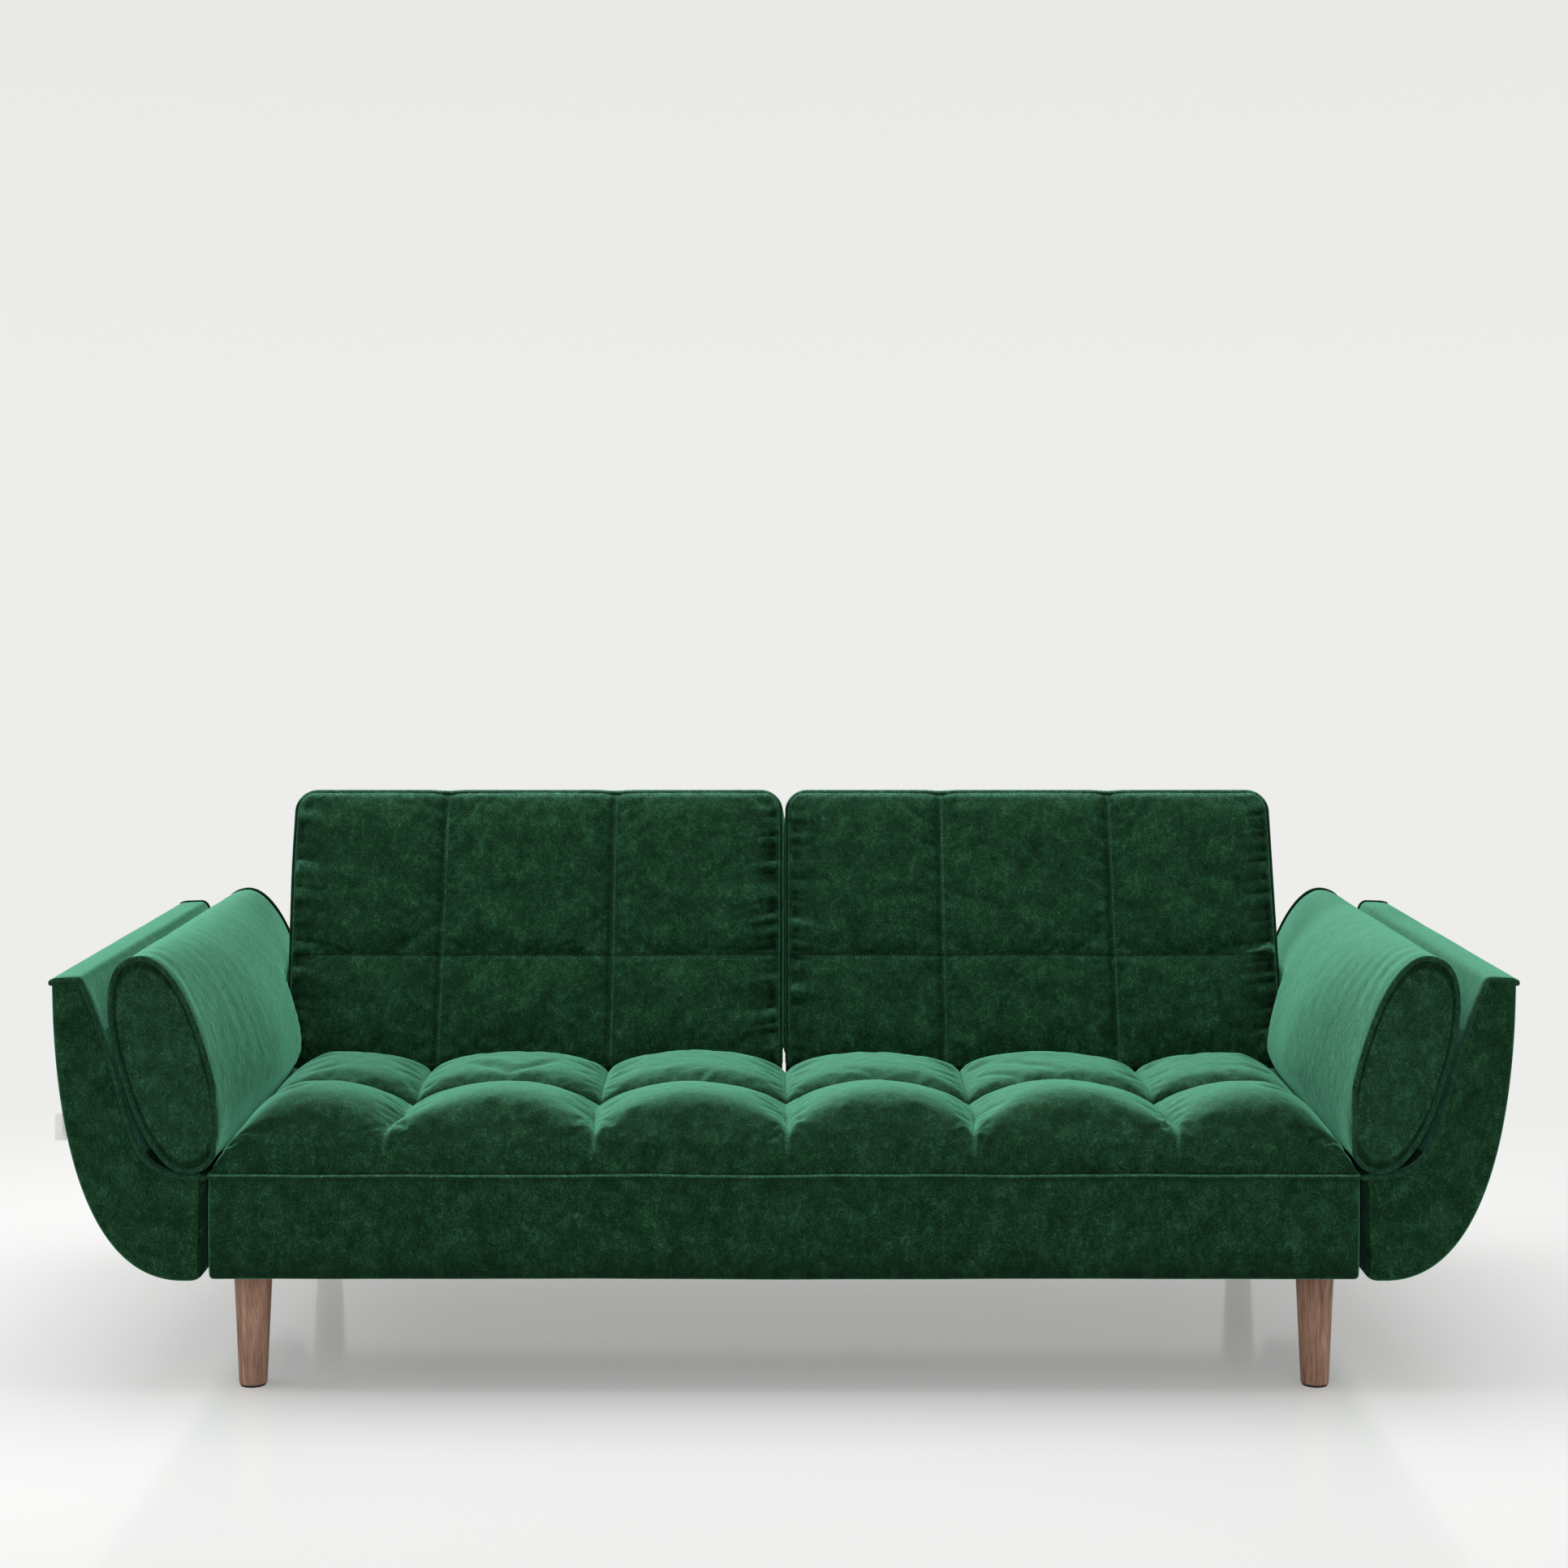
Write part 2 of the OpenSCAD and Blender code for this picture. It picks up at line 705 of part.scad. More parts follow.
module lip_section() {
  translate([wing_w - wing_pad_t - 14, wing_h - wing_pad_t - 22]) square([10, 16]);
}

module wing_boards() {
  difference() {
    along_wing(wing_pad_t, wing_d - wing_pad_t) board_section();
    wing_bolt_bores(nut_barrel_r);
  }
  along_wing(wing_pad_t, wing_d - wing_pad_t) lip_section();
}

module wing_bolt_bores(r) {
  for (s = [-1, 1])
    for (y = bolt_ys)
      translate([s * (inner_x - 5), y, wing_bolt_z]) rotate([0, s * 90, 0])
        cylinder(r = r, h = wing_x + inner_cloth + board_t + 6 - inner_x, $fn = 32);
}

module on_side(s) { mirror([s > 0 ? 0 : 1, 0, 0]) children(); }

module left_wing_pad() { color(velvet) on_side(-1) wing_pad(); }
module right_wing_pad() { color(velvet) on_side(1) wing_pad(); }
module left_wing_piping() { color(velvet_light) on_side(-1) wing_piping(); }
module right_wing_piping() { color(velvet_light) on_side(1) wing_piping(); }
module left_wing_ribs() { color(timber) on_side(-1) wing_ribs(); }
module right_wing_ribs() { color(timber) on_side(1) wing_ribs(); }
module left_wing_boards() { color(timber) on_side(-1) wing_boards(); }
module right_wing_boards() { color(timber) on_side(1) wing_boards(); }

nut_barrel_r = bolt_d / 2 + 1.5;

module wing_bolts() {
  head_h = 5;
  color(steel) for (s = [-1, 1]) for (y = bolt_ys) on_side(s)
    translate([inner_x - head_h, y, wing_bolt_z]) rotate([0, 90, 0]) {
      cylinder(r = bolt_d, h = head_h, $fn = 32);
      cylinder(r = bolt_d / 2, h = head_h + wing_x + inner_cloth + board_t - 1 - inner_x, $fn = 32);
    }
}

module wing_spacers() {
  // Washers that hold a wing off the seat box
  face_x = frame_x + pad_t;
  color(black) for (s = [-1, 1]) for (y = bolt_ys) on_side(s)
    translate([face_x, y, wing_bolt_z]) rotate([0, 90, 0]) difference() {
      cylinder(r = bolt_d * 1.8, h = wing_x - face_x, $fn = 32);
      translate([0, 0, -1]) cylinder(r = bolt_d / 2, h = wing_x - face_x + 2, $fn = 32);
    }
}

module wing_nuts() {
  // Barrel nuts pressed into the wing boards
  color(steel) for (s = [-1, 1]) for (y = bolt_ys) on_side(s)
    translate([wing_x + inner_cloth, y, wing_bolt_z]) rotate([0, 90, 0]) difference() {
      cylinder(r = nut_barrel_r, h = board_t, $fn = 32);
      translate([0, 0, -1]) cylinder(r = bolt_d / 2, h = board_t + 2, $fn = 32);
    }
}

// ---------- Bolsters ----------

oval = 2.33;
dual = oval / (oval - 1);
bolster_n = 36;
bolster_a = bolster_h / 2;
bolster_b = bolster_t / 2;
// Half height of the leaning oval, which sets how high it sits on the ledge
bolster_half = pow(pow(bolster_a * cos(bolster_lean), dual) + pow(bolster_b * sin(bolster_lean), dual), 1 / dual);
bolster_x = wing_x + bolster_out;
bolster_z = wing_z + ledge_h + bolster_gap + 1.2 + bolster_half;
// The rear of a bolster is pressed flat beside the back cushions
flat_x = back_gap / 2 + back_w + 3.5;
function oval_point(t, d) = let (
  b = (bolster_b - d) * spow(cos(t), 2 / oval),
  a = (bolster_a - d) * spow(sin(t), 2 / oval)
) [bolster_x + a * sin(bolster_lean) + b * cos(bolster_lean),
   bolster_z + a * cos(bolster_lean) - b * sin(bolster_lean)];
function oval_ring(y, d, press) = [for (i = [0 : bolster_n - 1]) let (
  p = oval_point(360 * i / bolster_n, d),
  x = p[0] < flat_x + d ? (1 - press) * p[0] + press * (flat_x + d) : p[0]
) [x, y, p[1]]];

module bolster_core() {
  plug = 2 * cord_r + 0.4;
  press_y = seat_back - 20;
  y1 = y_front + bolster_l;
  rings = [
    oval_ring(y_front + 1, plug, 0),
    oval_ring(y_front + cord_d, plug, 0),
    oval_ring(y_front + cord_d + 0.2, 1, 0),
    for (i = [0 : 4]) oval_ring(press_y - 45 + 10 * i, 1, smooth(i / 4)),
    oval_ring(y1 - cord_d - 0.2, 1, 1),
    oval_ring(y1 - cord_d, plug, 1),
    oval_ring(y1 - 1, plug, 1)
  ];
  k = len(rings);
  n = bolster_n;
  walls = [for (i = [0 : k - 2]) for (j = [0 : n - 1]) for (half = [0, 1]) let (
    a = i * n + j,
    b = i * n + (j + 1) % n
  ) half == 0 ? [a, b, b + n] : [a, b + n, a + n]];
  ends = [[for (j = [n - 1 : -1 : 0]) j], [for (j = [0 : n - 1]) (k - 1) * n + j]];
  polyhedron([for (r = rings) for (p = r) p], concat(walls, ends), convexity = 6);
}

module bolster_piping() {
  cord(oval_ring(y_front + cord_r, cord_r, 0), [0, 1, 0], closed = true);
  cord(oval_ring(y_front + bolster_l - cord_r, cord_r, 1), [0, 1, 0], closed = true);
}

module left_bolster() { color(velvet_light) on_side(-1) bolster_core(); }
module right_bolster() { color(velvet_light) on_side(1) bolster_core(); }
module left_bolster_piping() { color(velvet) on_side(-1) bolster_piping(); }
module right_bolster_piping() { color(velvet) on_side(1) bolster_piping(); }

// ---------- Backs ----------
// A back's own frame: origin on the hinge line, x along it, z up the back, y to its rear.

module at_back(s) {
  translate([s * back_x, pin_y, pin_z]) rotate([-recline, 0, 0]) children();
}

back_mid = pin_to_back + back_h / 2;
face_y = -pin_to_face;
rear_y = back_t - pin_to_face;
seam_y = face_y + 14;
panel_t = 5;
frame_y0 = 62;
spring_seat = frame_y0 - clip_r;
foam_y1 = frame_y0 - 2 * clip_r;

// A slab with the back's outline, inset by d, between two depths
module back_slab(d, y0, y1) {
  translate([0, y1, back_mid]) rotate([90, 0, 0]) linear_extrude(y1 - y0)
    rounded(back_w - 2 * d, back_h - 2 * d, back_r - d, back_foot_r - d);
}

core_in = cord_proud + pad_t;

module back_frame() {
  inside_w = back_w - 2 * core_in - 2 * stile_w;
  inside_h = back_h - 2 * core_in - 2 * stile_w;
  difference() {
    back_slab(core_in, frame_y0, rear_y - panel_t);
    translate([-inside_w / 2, frame_y0 - 1, back_mid - inside_h / 2])
      cube([inside_w, rear_y - panel_t - frame_y0 + 2, inside_h]);
  }
}

module back_springs() {
  z0 = pin_to_back + core_in + stile_w / 2;
  step = (back_w - 2 * core_in - 2 * stile_w) / back_spring_n;
  for (i = [0 : back_spring_n - 1])
    translate([(i - (back_spring_n - 1) / 2) * step, frame_y0 - wire_r, z0])
      rotate([90, 0, 0]) sinuous(back_loops, back_h - 2 * core_in - stile_w);
}

module arm_slots() {
  for (s = [-1, 1])
    translate([s * (arm_x - hinge_t / 2), -eye_d / 2 - 1, 0]) translate([-hinge_t / 2 - 0.5, 0, 0])
      cube([hinge_t + 1, frame_y0 + eye_d / 2 + 1, 160]);
}

module back_foam() {
  difference() {
    back_slab(core_in, seam_y + cord_r, foam_y1);
    arm_slots();
  }
}

// The quilted front pad; rows follow the rounded corners
quilt_cols = 3;
quilt_line = 0.385;
pad_in = cord_d + 0.5;
pad_hw = back_w / 2 - pad_in;
pad_hh = back_h / 2 - pad_in;
pad_r = back_r - pad_in;
pad_foot_r = back_foot_r - pad_in;
function pad_width(z) = let (
  r = z < 0 ? pad_foot_r : pad_r,
  d = max(0, abs(z) - pad_hh + r)
) pad_hw - r + sqrt(max(0, r * r - d * d));
function pad_rise(x, z) = let (
  u = in_cell((x + pad_hw) / (2 * pad_hw), quilt_cols),
  line = -pad_hh + 2 * pad_hh * quilt_line,
  v = z < line ? 1 - 2 * (z + pad_hh) / (line + pad_hh) : 1 - 2 * (pad_hh - z) / (pad_hh - line),
  side = abs(x) > pad_hw * (1 - 1 / quilt_cols),
  bu = side ? 1 : puff(u),
  bv = v > 0 ? puff(v) : 1,
  d = min(pad_width(z) - abs(x), pad_hh - abs(z)),
  skirt = pin_to_face + seam_y
) 8 + (skirt - 4) * roll(d, 42, 2, 0.5) * (1 - quilt_depth / 12 * (1 - bu * 0.55 - bv * 0.45));

module back_pad() {
  cols = 30;
  zs = concat(
    [for (a = [90 : -22.5 : 22.5]) -pad_hh + pad_foot_r * (1 - sin(a))],
    [for (j = [0 : 12]) -pad_hh + pad_foot_r + (2 * pad_hh - pad_r - pad_foot_r) * j / 12],
    [for (a = [22.5 : 22.5 : 90]) pad_hh - pad_r * (1 - sin(a))]
  );
  y0 = seam_y + cord_r;
  translate([0, 0, back_mid]) pillow(
    [for (z = zs) [for (i = [0 : cols]) let (x = (2 * i / cols - 1) * pad_width(z)) [x, y0 - pad_rise(x, z), z]]],
    [for (z = zs) [for (i = [0 : cols]) [(2 * i / cols - 1) * pad_width(z), y0, z]]]
  );
}

module back_cover() {
  difference() {
    back_slab(cord_proud, seam_y + cord_r, rear_y);
    back_slab(core_in, seam_y + cord_r - 1, rear_y - panel_t);
    arm_slots();
  }
}

module back_piping() {
  translate([0, seam_y, back_mid]) rotate([90, 0, 0])
    cord_loop(back_w - cord_d, back_h - cord_d, back_r - cord_r, back_foot_r - cord_r);
}

// ---------- Click-clack hinges ----------

// Places each hinge at its pin, with x away from the arm's outer face towards the middle of the back
module at_hinges() {
  for (s = [-1, 1])
    for (e = [-1, 1])
      translate([s * back_x + e * (arm_x - hinge_t - hinge_play), pin_y, pin_z])
        mirror([e > 0 ? 0 : 1, 0, 0]) children();
}

foot_low = wing_bolt_z - pin_z - 28;
foot_w = 40;
foot_h = 60;
foot_t = 3;
screw_in = 24;
screw_low = 14;
screw_pitch = 30;
screw_r = 2.5;

module hinge_brackets() {
  // A plate under the pin with a foot screwed to the back of the mid rail
  foot_y = mid_back - pin_y;
  color(black) at_hinges() difference() {
    union() {
      translate([-hinge_t, 0, 0]) rotate([90, 0, 90]) linear_extrude(hinge_t) {
        circle(eye_d / 2);
        translate([foot_y, foot_low]) square([eye_d / 2 - foot_y, -foot_low]);
      }
      translate([-foot_w, foot_y, foot_low]) cube([foot_w, foot_t, foot_h]);
    }
    translate([-hinge_t - 1, 0, 0]) rotate([0, 90, 0]) cylinder(r = pin_d / 2, h = hinge_t + 2);
    for (k = [0, 1])
      translate([-screw_in, foot_y - 1, foot_low + screw_low + screw_pitch * k]) rotate([-90, 0, 0])
        cylinder(r = screw_r, h = 2 * foot_t, $fn = 24);
  }
}

module hinge_rivets() {
  head_h = 3;
  color(steel) at_hinges() {
    translate([-hinge_t - head_h, 0, 0]) rotate([0, 90, 0]) cylinder(r = pin_d * 0.8, h = head_h);
    translate([-hinge_t, 0, 0]) rotate([0, 90, 0])
      cylinder(r = pin_d / 2, h = 2 * hinge_t + 2 * hinge_play);
    translate([hinge_t + 2 * hinge_play, 0, 0]) rotate([0, 90, 0])
      cylinder(r = pin_d * 0.8, h = head_h);
  }
}

module hinge_screws() {
  foot_y = mid_back - pin_y;
  color(steel) at_hinges() for (k = [0, 1])
    translate([-screw_in, foot_y + foot_t, foot_low + screw_low + screw_pitch * k]) rotate([90, 0, 0]) {
      translate([0, 0, -screw_r]) cylinder(r = 2 * screw_r, h = screw_r, $fn = 24);
      cylinder(r = screw_r, h = foot_t, $fn = 24);
    }
}

// The arm leaves its eye through the underside of the back and lies against the stile
module hinge_arm() {
  arm_w = 22;
  knee = [38, 90];
  bend = [frame_y0 + 22, 130];
  tip = [frame_y0 + 22, 200];
  difference() {
    rotate([90, 0, 90]) linear_extrude(hinge_t) {
      circle(eye_d / 2);
      offset(r = arm_w / 2 - 0.5)
        polygon([[0, 0], knee, bend, tip, tip + [-0.5, 0], bend + [-0.5, 0.2], knee + [-0.5, 0.2], [-0.5, 0]]);
    }
    translate([-1, 0, 0]) rotate([0, 90, 0]) cylinder(r = pin_d / 2 + pin_gap, h = hinge_t + 2);
    for (k = [0, 1])
      translate([-1, tip[0], tip[1] - 50 * k]) rotate([0, 90, 0]) cylinder(r = 3, h = hinge_t + 2, $fn = 24);
  }
}

module hinge_arms() {
  for (e = [-1, 1])
    mirror([e > 0 ? 0 : 1, 0, 0]) translate([arm_x - hinge_t, 0, 0]) hinge_arm();
}

module left_back_frame() { color(timber) at_back(-1) back_frame(); }
module left_back_springs() { color(steel) at_back(-1) back_springs(); }
module left_back_foam() { color(foam) at_back(-1) back_foam(); }
module left_back_pad() { color(velvet_light) at_back(-1) back_pad(); }
module left_back_cover() { color(velvet) at_back(-1) back_cover(); }
module left_back_piping() { color(velvet) at_back(-1) back_piping(); }
module left_hinge_arms() { color(black) at_back(-1) hinge_arms(); }
module right_back_frame() { color(timber) at_back(1) back_frame(); }
module right_back_springs() { color(steel) at_back(1) back_springs(); }
module right_back_foam() { color(foam) at_back(1) back_foam(); }
module right_back_pad() { color(velvet_light) at_back(1) back_pad(); }
module right_back_cover() { color(velvet) at_back(1) back_cover(); }
module right_back_piping() { color(velvet) at_back(1) back_piping(); }
module right_hinge_arms() { color(black) at_back(1) hinge_arms(); }

front_rail();
rear_rail();
side_rails();
mid_rail();
joists();
corner_blocks();
seat_springs();
spring_clips();
seat_felt();
seat_foam();
seat_cushion();
seat_piping();
front_border();
side_borders();
rear_border();
seat_back_panel();
deck_board();
deck_cover();
dust_cover();
front_left_leg();
front_right_leg();
rear_left_leg();
rear_right_leg();
leg_plates();
leg_bolts();
leg_nuts();
leg_glides();
left_wing_pad();
left_wing_piping();
left_wing_ribs();
left_wing_boards();
right_wing_pad();
right_wing_piping();
right_wing_ribs();
right_wing_boards();
wing_bolts();
wing_spacers();
wing_nuts();
hinge_brackets();
hinge_rivets();
hinge_screws();
left_back_frame();
left_back_springs();
left_back_foam();
left_back_pad();
left_back_cover();
left_back_piping();
left_hinge_arms();
right_back_frame();
right_back_springs();
right_back_foam();
right_back_pad();
right_back_cover();
right_back_piping();
right_hinge_arms();
left_bolster();
left_bolster_piping();
right_bolster();
right_bolster_piping();
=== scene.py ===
import json
import math

import bpy
import numpy as np
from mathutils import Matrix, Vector


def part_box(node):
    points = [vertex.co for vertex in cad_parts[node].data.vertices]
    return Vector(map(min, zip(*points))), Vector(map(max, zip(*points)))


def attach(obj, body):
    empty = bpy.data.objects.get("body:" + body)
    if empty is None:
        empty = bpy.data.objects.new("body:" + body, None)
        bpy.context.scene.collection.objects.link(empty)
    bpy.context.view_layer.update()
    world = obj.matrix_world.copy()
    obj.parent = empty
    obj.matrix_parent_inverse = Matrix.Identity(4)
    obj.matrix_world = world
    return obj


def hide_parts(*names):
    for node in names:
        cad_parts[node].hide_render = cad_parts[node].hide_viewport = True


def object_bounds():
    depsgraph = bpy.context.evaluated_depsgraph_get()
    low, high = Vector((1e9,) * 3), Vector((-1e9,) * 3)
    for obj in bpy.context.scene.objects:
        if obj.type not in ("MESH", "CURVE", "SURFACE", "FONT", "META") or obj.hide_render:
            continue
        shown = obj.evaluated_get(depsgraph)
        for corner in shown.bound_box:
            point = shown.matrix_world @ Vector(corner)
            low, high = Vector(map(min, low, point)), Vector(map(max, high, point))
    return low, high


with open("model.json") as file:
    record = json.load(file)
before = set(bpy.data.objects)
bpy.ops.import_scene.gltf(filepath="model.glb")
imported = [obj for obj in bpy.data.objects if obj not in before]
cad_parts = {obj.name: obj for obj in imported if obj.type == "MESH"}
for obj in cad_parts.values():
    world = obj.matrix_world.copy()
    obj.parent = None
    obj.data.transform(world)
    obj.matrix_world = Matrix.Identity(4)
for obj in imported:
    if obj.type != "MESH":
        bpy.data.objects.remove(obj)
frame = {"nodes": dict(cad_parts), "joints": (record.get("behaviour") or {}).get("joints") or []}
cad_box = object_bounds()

# Green velvet sofa bed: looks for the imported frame. Lengths are metres; x right, y back, z up.
# A side is "left" or "right", and s is -1 on the left and 1 on the right.

SIDES = ((-1, "left"), (1, "right"))

# ---------- Places, taken from the frame ----------

PIN = [j["pos_m"] for j in frame["joints"] if j["name"] == "right_back_hinge"][0]
RECLINE = math.radians(20)
CORD_R = 0.004
PIPING_LO, PIPING_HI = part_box("seat_piping")
BORDER_LO, BORDER_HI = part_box("front_border")
REAR_LO, REAR_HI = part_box("rear_border")
DUST_LO, DUST_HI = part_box("dust_cover")
PILLOW_LO, PILLOW_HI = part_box("seat_cushion")
WELT_LO, WELT_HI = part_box("right_back_piping")
WING_LO, WING_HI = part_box("right_wing_pad")
ROLL_LO, ROLL_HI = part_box("right_bolster_piping")
SEAM_Z = (PIPING_LO.z + PIPING_HI.z) / 2
SEAT_BACK = PIPING_HI.y

# ---------- Numbers ----------


def smooth(t):
    """0 to 1 with level ends."""
    t = np.clip(t, 0.0, 1.0)
    return t * t * (3 - 2 * t)


def bell(d, width):
    return np.exp(-((d / width) ** 2))


def lattice(i, j, k, seed):
    """A fixed pseudo-random value from -1 to 1 for each whole-numbered point."""
    mask = 0xFFFFFFFF
    n = (i * 374761393 + j * 668265263 + k * 974634777 + seed * 2246822519) & mask
    n = ((n ^ (n >> 13)) * 1274126177) & mask
    n = ((n ^ (n >> 15)) * 2246822519) & mask
    return ((n ^ (n >> 16)) & 0xFFFF) / 32767.5 - 1


def value_noise(points, size, seed, octaves=1):
    """Smooth noise from about -1 to 1; size is the length of its largest features."""
    total, gain, reach = 0.0, 1.0, 0.0
    for octave in range(octaves):
        p = np.asarray(points, float) * (2**octave / size)
        cell = np.floor(p).astype(np.int64)
        f = smooth(p - cell)
        value = 0.0
        for corner in np.ndindex(2, 2, 2):
            near = np.where(corner, f, 1 - f)
            weight = near[:, 0] * near[:, 1] * near[:, 2]
            value = value + weight * lattice(*(cell + corner).T, seed + octave)
        total = total + gain * value
        reach += gain
        gain *= 0.5
    return total / reach


def noise_line(s, size, seed, octaves=1):
    """The same noise along one line of places."""
    s = np.asarray(s, float)
    flat = s.ravel()
    points = np.stack([flat, flat * 0 + 0.37 * size, flat * 0 + 0.61 * size], 1)
    return value_noise(points, size, seed, octaves).reshape(s.shape)


def spaced(lo, hi, n, soft, gain, centres=(), near=0.01, pull=0.0):
    """n + 1 places from lo to hi, closer together within soft of the ends and near of the centres."""
    s = np.linspace(lo, hi, 8001)
    weight = 1 + gain * np.exp(-np.minimum(s - lo, hi - s) / soft)
    for c in centres:
        weight = weight + pull * np.exp(-np.abs(s - c) / near)
    total = np.concatenate([[0], np.cumsum((weight[1:] + weight[:-1]) / 2)])
    return np.interp(np.linspace(0, total[-1], n + 1), total, s)


def edge_roll(d, r, e, f):
    """Height of a rolled edge, from 0 at the edge to 1 at r inside it."""
    return np.where(d >= r, 1.0, np.power(1 - np.power(1 - np.clip(d, 0, r) / r, e), f))


def columns(*values):
    """Points from their coordinates; a single number holds for all of them."""
    return np.column_stack(np.broadcast_arrays(*values))


def plane(xs, ys):
    """Every place on a grid, row by row."""
    gx, gy = np.meshgrid(xs, ys)
    return gx.ravel(), gy.ravel()


def run_along(line):
    """Length along a line up to each of its points."""
    return np.concatenate([[0], np.cumsum(np.linalg.norm(np.diff(line, axis=0), axis=1))])


# ---------- Meshes ----------


def add_piece(name, points, faces, material, body, replaces=(), painted_light=None, shaded=None):
    """A piece of the sofa. At each point its painted light runs from -1, painted shade, to 1, a painted
    highlight, and shaded is 0 in the open, 1 in a gap and 2 deep in one, where darker copies of the velvet
    stand for painted shade."""
    mesh = bpy.data.meshes.new(name)
    mesh.from_pydata(np.asarray(points, float).tolist(), [], faces)
    mesh.polygons.foreach_set("use_smooth", [True] * len(mesh.polygons))
    mesh.materials.append(material)
    if painted_light is not None:
        values = mesh.attributes.new("painted_light", "FLOAT", "POINT").data
        values.foreach_set("value", np.clip(painted_light, -1, 1).astype(np.float32))
    if shaded is not None:
        mesh.materials.append(VELVET_DIM)
        mesh.materials.append(VELVET_SHADE)
        levels = np.asarray(shaded, int)
        mesh.polygons.foreach_set("material_index", [int(min(levels[i] for i in face)) for face in faces])
    mesh.update()
    obj = bpy.data.objects.new(name, mesh)
    bpy.context.scene.collection.objects.link(obj)
    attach(obj, body)
    if replaces:
        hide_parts(*replaces)
    return obj


def add_velvet(name, points, faces, body, replaces, painted_light=None, shaded=None):
    """A piece in the sofa's velvet."""
    made = add_piece(name, points, faces, VELVET, body, replaces, painted_light, shaded)
    return made


def add_cord(name, points, faces, body, replaces, painted_light):
    return add_piece(name, points, faces, VELVET_CORD, body, [replaces], painted_light)


def grid_faces(rows, cols, wrap=False, flip=False):
    """Quads over rows of cols points, joined round the row where wrap is set."""
    faces = []
    for j in range(rows - 1):
        for i in range(cols if wrap else cols - 1):
            a, b = j * cols + i, j * cols + (i + 1) % cols
            quad = (a, b, b + cols, a + cols)
            faces.append(quad[::-1] if flip else quad)
    return faces


def rim_of(rows, cols):
    """The points round the edge of a grid, in order."""
    last = rows - 1
    low, right = list(range(cols)), [j * cols + cols - 1 for j in range(1, rows)]
    high = [last * cols + i for i in range(cols - 2, -1, -1)]
    left = [j * cols for j in range(last - 1, 0, -1)]
    return low + right + high + left


def fan(ring, hub):
    """Triangles from each side of a ring to its middle point."""
    return [(ring[i], ring[(i + 1) % len(ring)], hub) for i in range(len(ring))]


def closed_below(top, rows, cols, under, hub):
    """A grid closed down to the points under its rim, and across them to the hub, as (points, faces)."""
    rim, count = rim_of(rows, cols), rows * cols
    n = len(rim)
    faces = grid_faces(rows, cols)
    for k in range(n):
        a, b, c, d = rim[k], rim[(k + 1) % n], count + k, count + (k + 1) % n
        faces += [(b, a, c, d), (d, c, count + n)]
    return np.concatenate([top, under, [hub]]), faces


def join(parts):
    """Several (points, faces) as one."""
    points, faces, first = [], [], 0
    for p, f in parts:
        points.append(np.asarray(p, float))
        faces += [tuple(first + i for i in face) for face in f]
        first += len(p)
    return np.concatenate(points), faces


def unit_rows(v):
    return v / np.maximum(np.linalg.norm(v, axis=1, keepdims=True), 1e-12)


def mirrored(points, faces, s):
    """A piece drawn for the right side, put on side s with its faces outwards."""
    points[:, 0] *= s
    return points, [f[::-1] for f in faces] if s > 0 else faces


CORD_SIDES = 14
CORD_CAPS = [(0.5, 0.86), (0.86, 0.5), (0.99, 0.12)]


def tube(path, radius, closed=False, up=(0, 0, 1)):
    """A round cord along a path, with rounded ends where it is open."""
    path = np.asarray(path, float)
    radii = np.full(len(path), radius)
    if closed:
        tangent = unit_rows(np.roll(path, -1, 0) - np.roll(path, 1, 0))
    else:
        ahead, behind = unit_rows(path[:1] - path[1:2]), unit_rows(path[-1:] - path[-2:-1])
        start = [path[:1] + ahead * radius * s for s, _ in CORD_CAPS[::-1]]
        path = np.concatenate(start + [path] + [path[-1:] + behind * radius * s for s, _ in CORD_CAPS])
        ends = np.array([c for _, c in CORD_CAPS]) * radius
        radii = np.concatenate([ends[::-1], radii, ends])
        tangent = unit_rows(np.gradient(path, axis=0))
    side = unit_rows(np.cross(tangent, np.asarray(up, float)))
    rise = np.cross(side, tangent)
    angles = np.arange(CORD_SIDES) * 2 * math.pi / CORD_SIDES
    ring = np.cos(angles)[None, :, None] * side[:, None] + np.sin(angles)[None, :, None] * rise[:, None]
    rings = path[:, None] + radii[:, None, None] * ring
    faces = grid_faces(len(path), CORD_SIDES, wrap=True)
    first, last = range(CORD_SIDES), range((len(path) - 1) * CORD_SIDES, len(path) * CORD_SIDES)
    if closed:
        faces += [(last[i], last[(i + 1) % CORD_SIDES], (i + 1) % CORD_SIDES, i) for i in first]
    else:
        faces += [tuple(first)[::-1], tuple(last)]
    return rings.reshape(-1, 3), faces


def rounded_loop(x0, x1, y0, y1, r, step, arc=8, foot=None):
    """Points round a rectangle, about step apart, with corner radius r, or foot at its two lower corners."""
    f = r if foot is None else foot
    upper = [(x1 - r, y1 - r, 0, r), (x0 + r, y1 - r, 90, r)]
    centres = [(x1 - f, y0 + f, -90, f), *upper, (x0 + f, y0 + f, 180, f)]
    loop = []
    for k, (cx, cy, start, radius) in enumerate(centres):
        for i in range(arc + 1):
            a = math.radians(start + 90 * i / arc)
            loop.append((cx + radius * math.cos(a), cy + radius * math.sin(a)))
        nx, ny, following, after = centres[(k + 1) % 4]
        a = math.radians(following)
        last, goal = np.array(loop[-1]), np.array([nx + after * math.cos(a), ny + after * math.sin(a)])
        n = max(1, int(np.linalg.norm(goal - last) / step))
        loop += [tuple(last + (goal - last) * i / n) for i in range(1, n)]
    return np.array(loop)


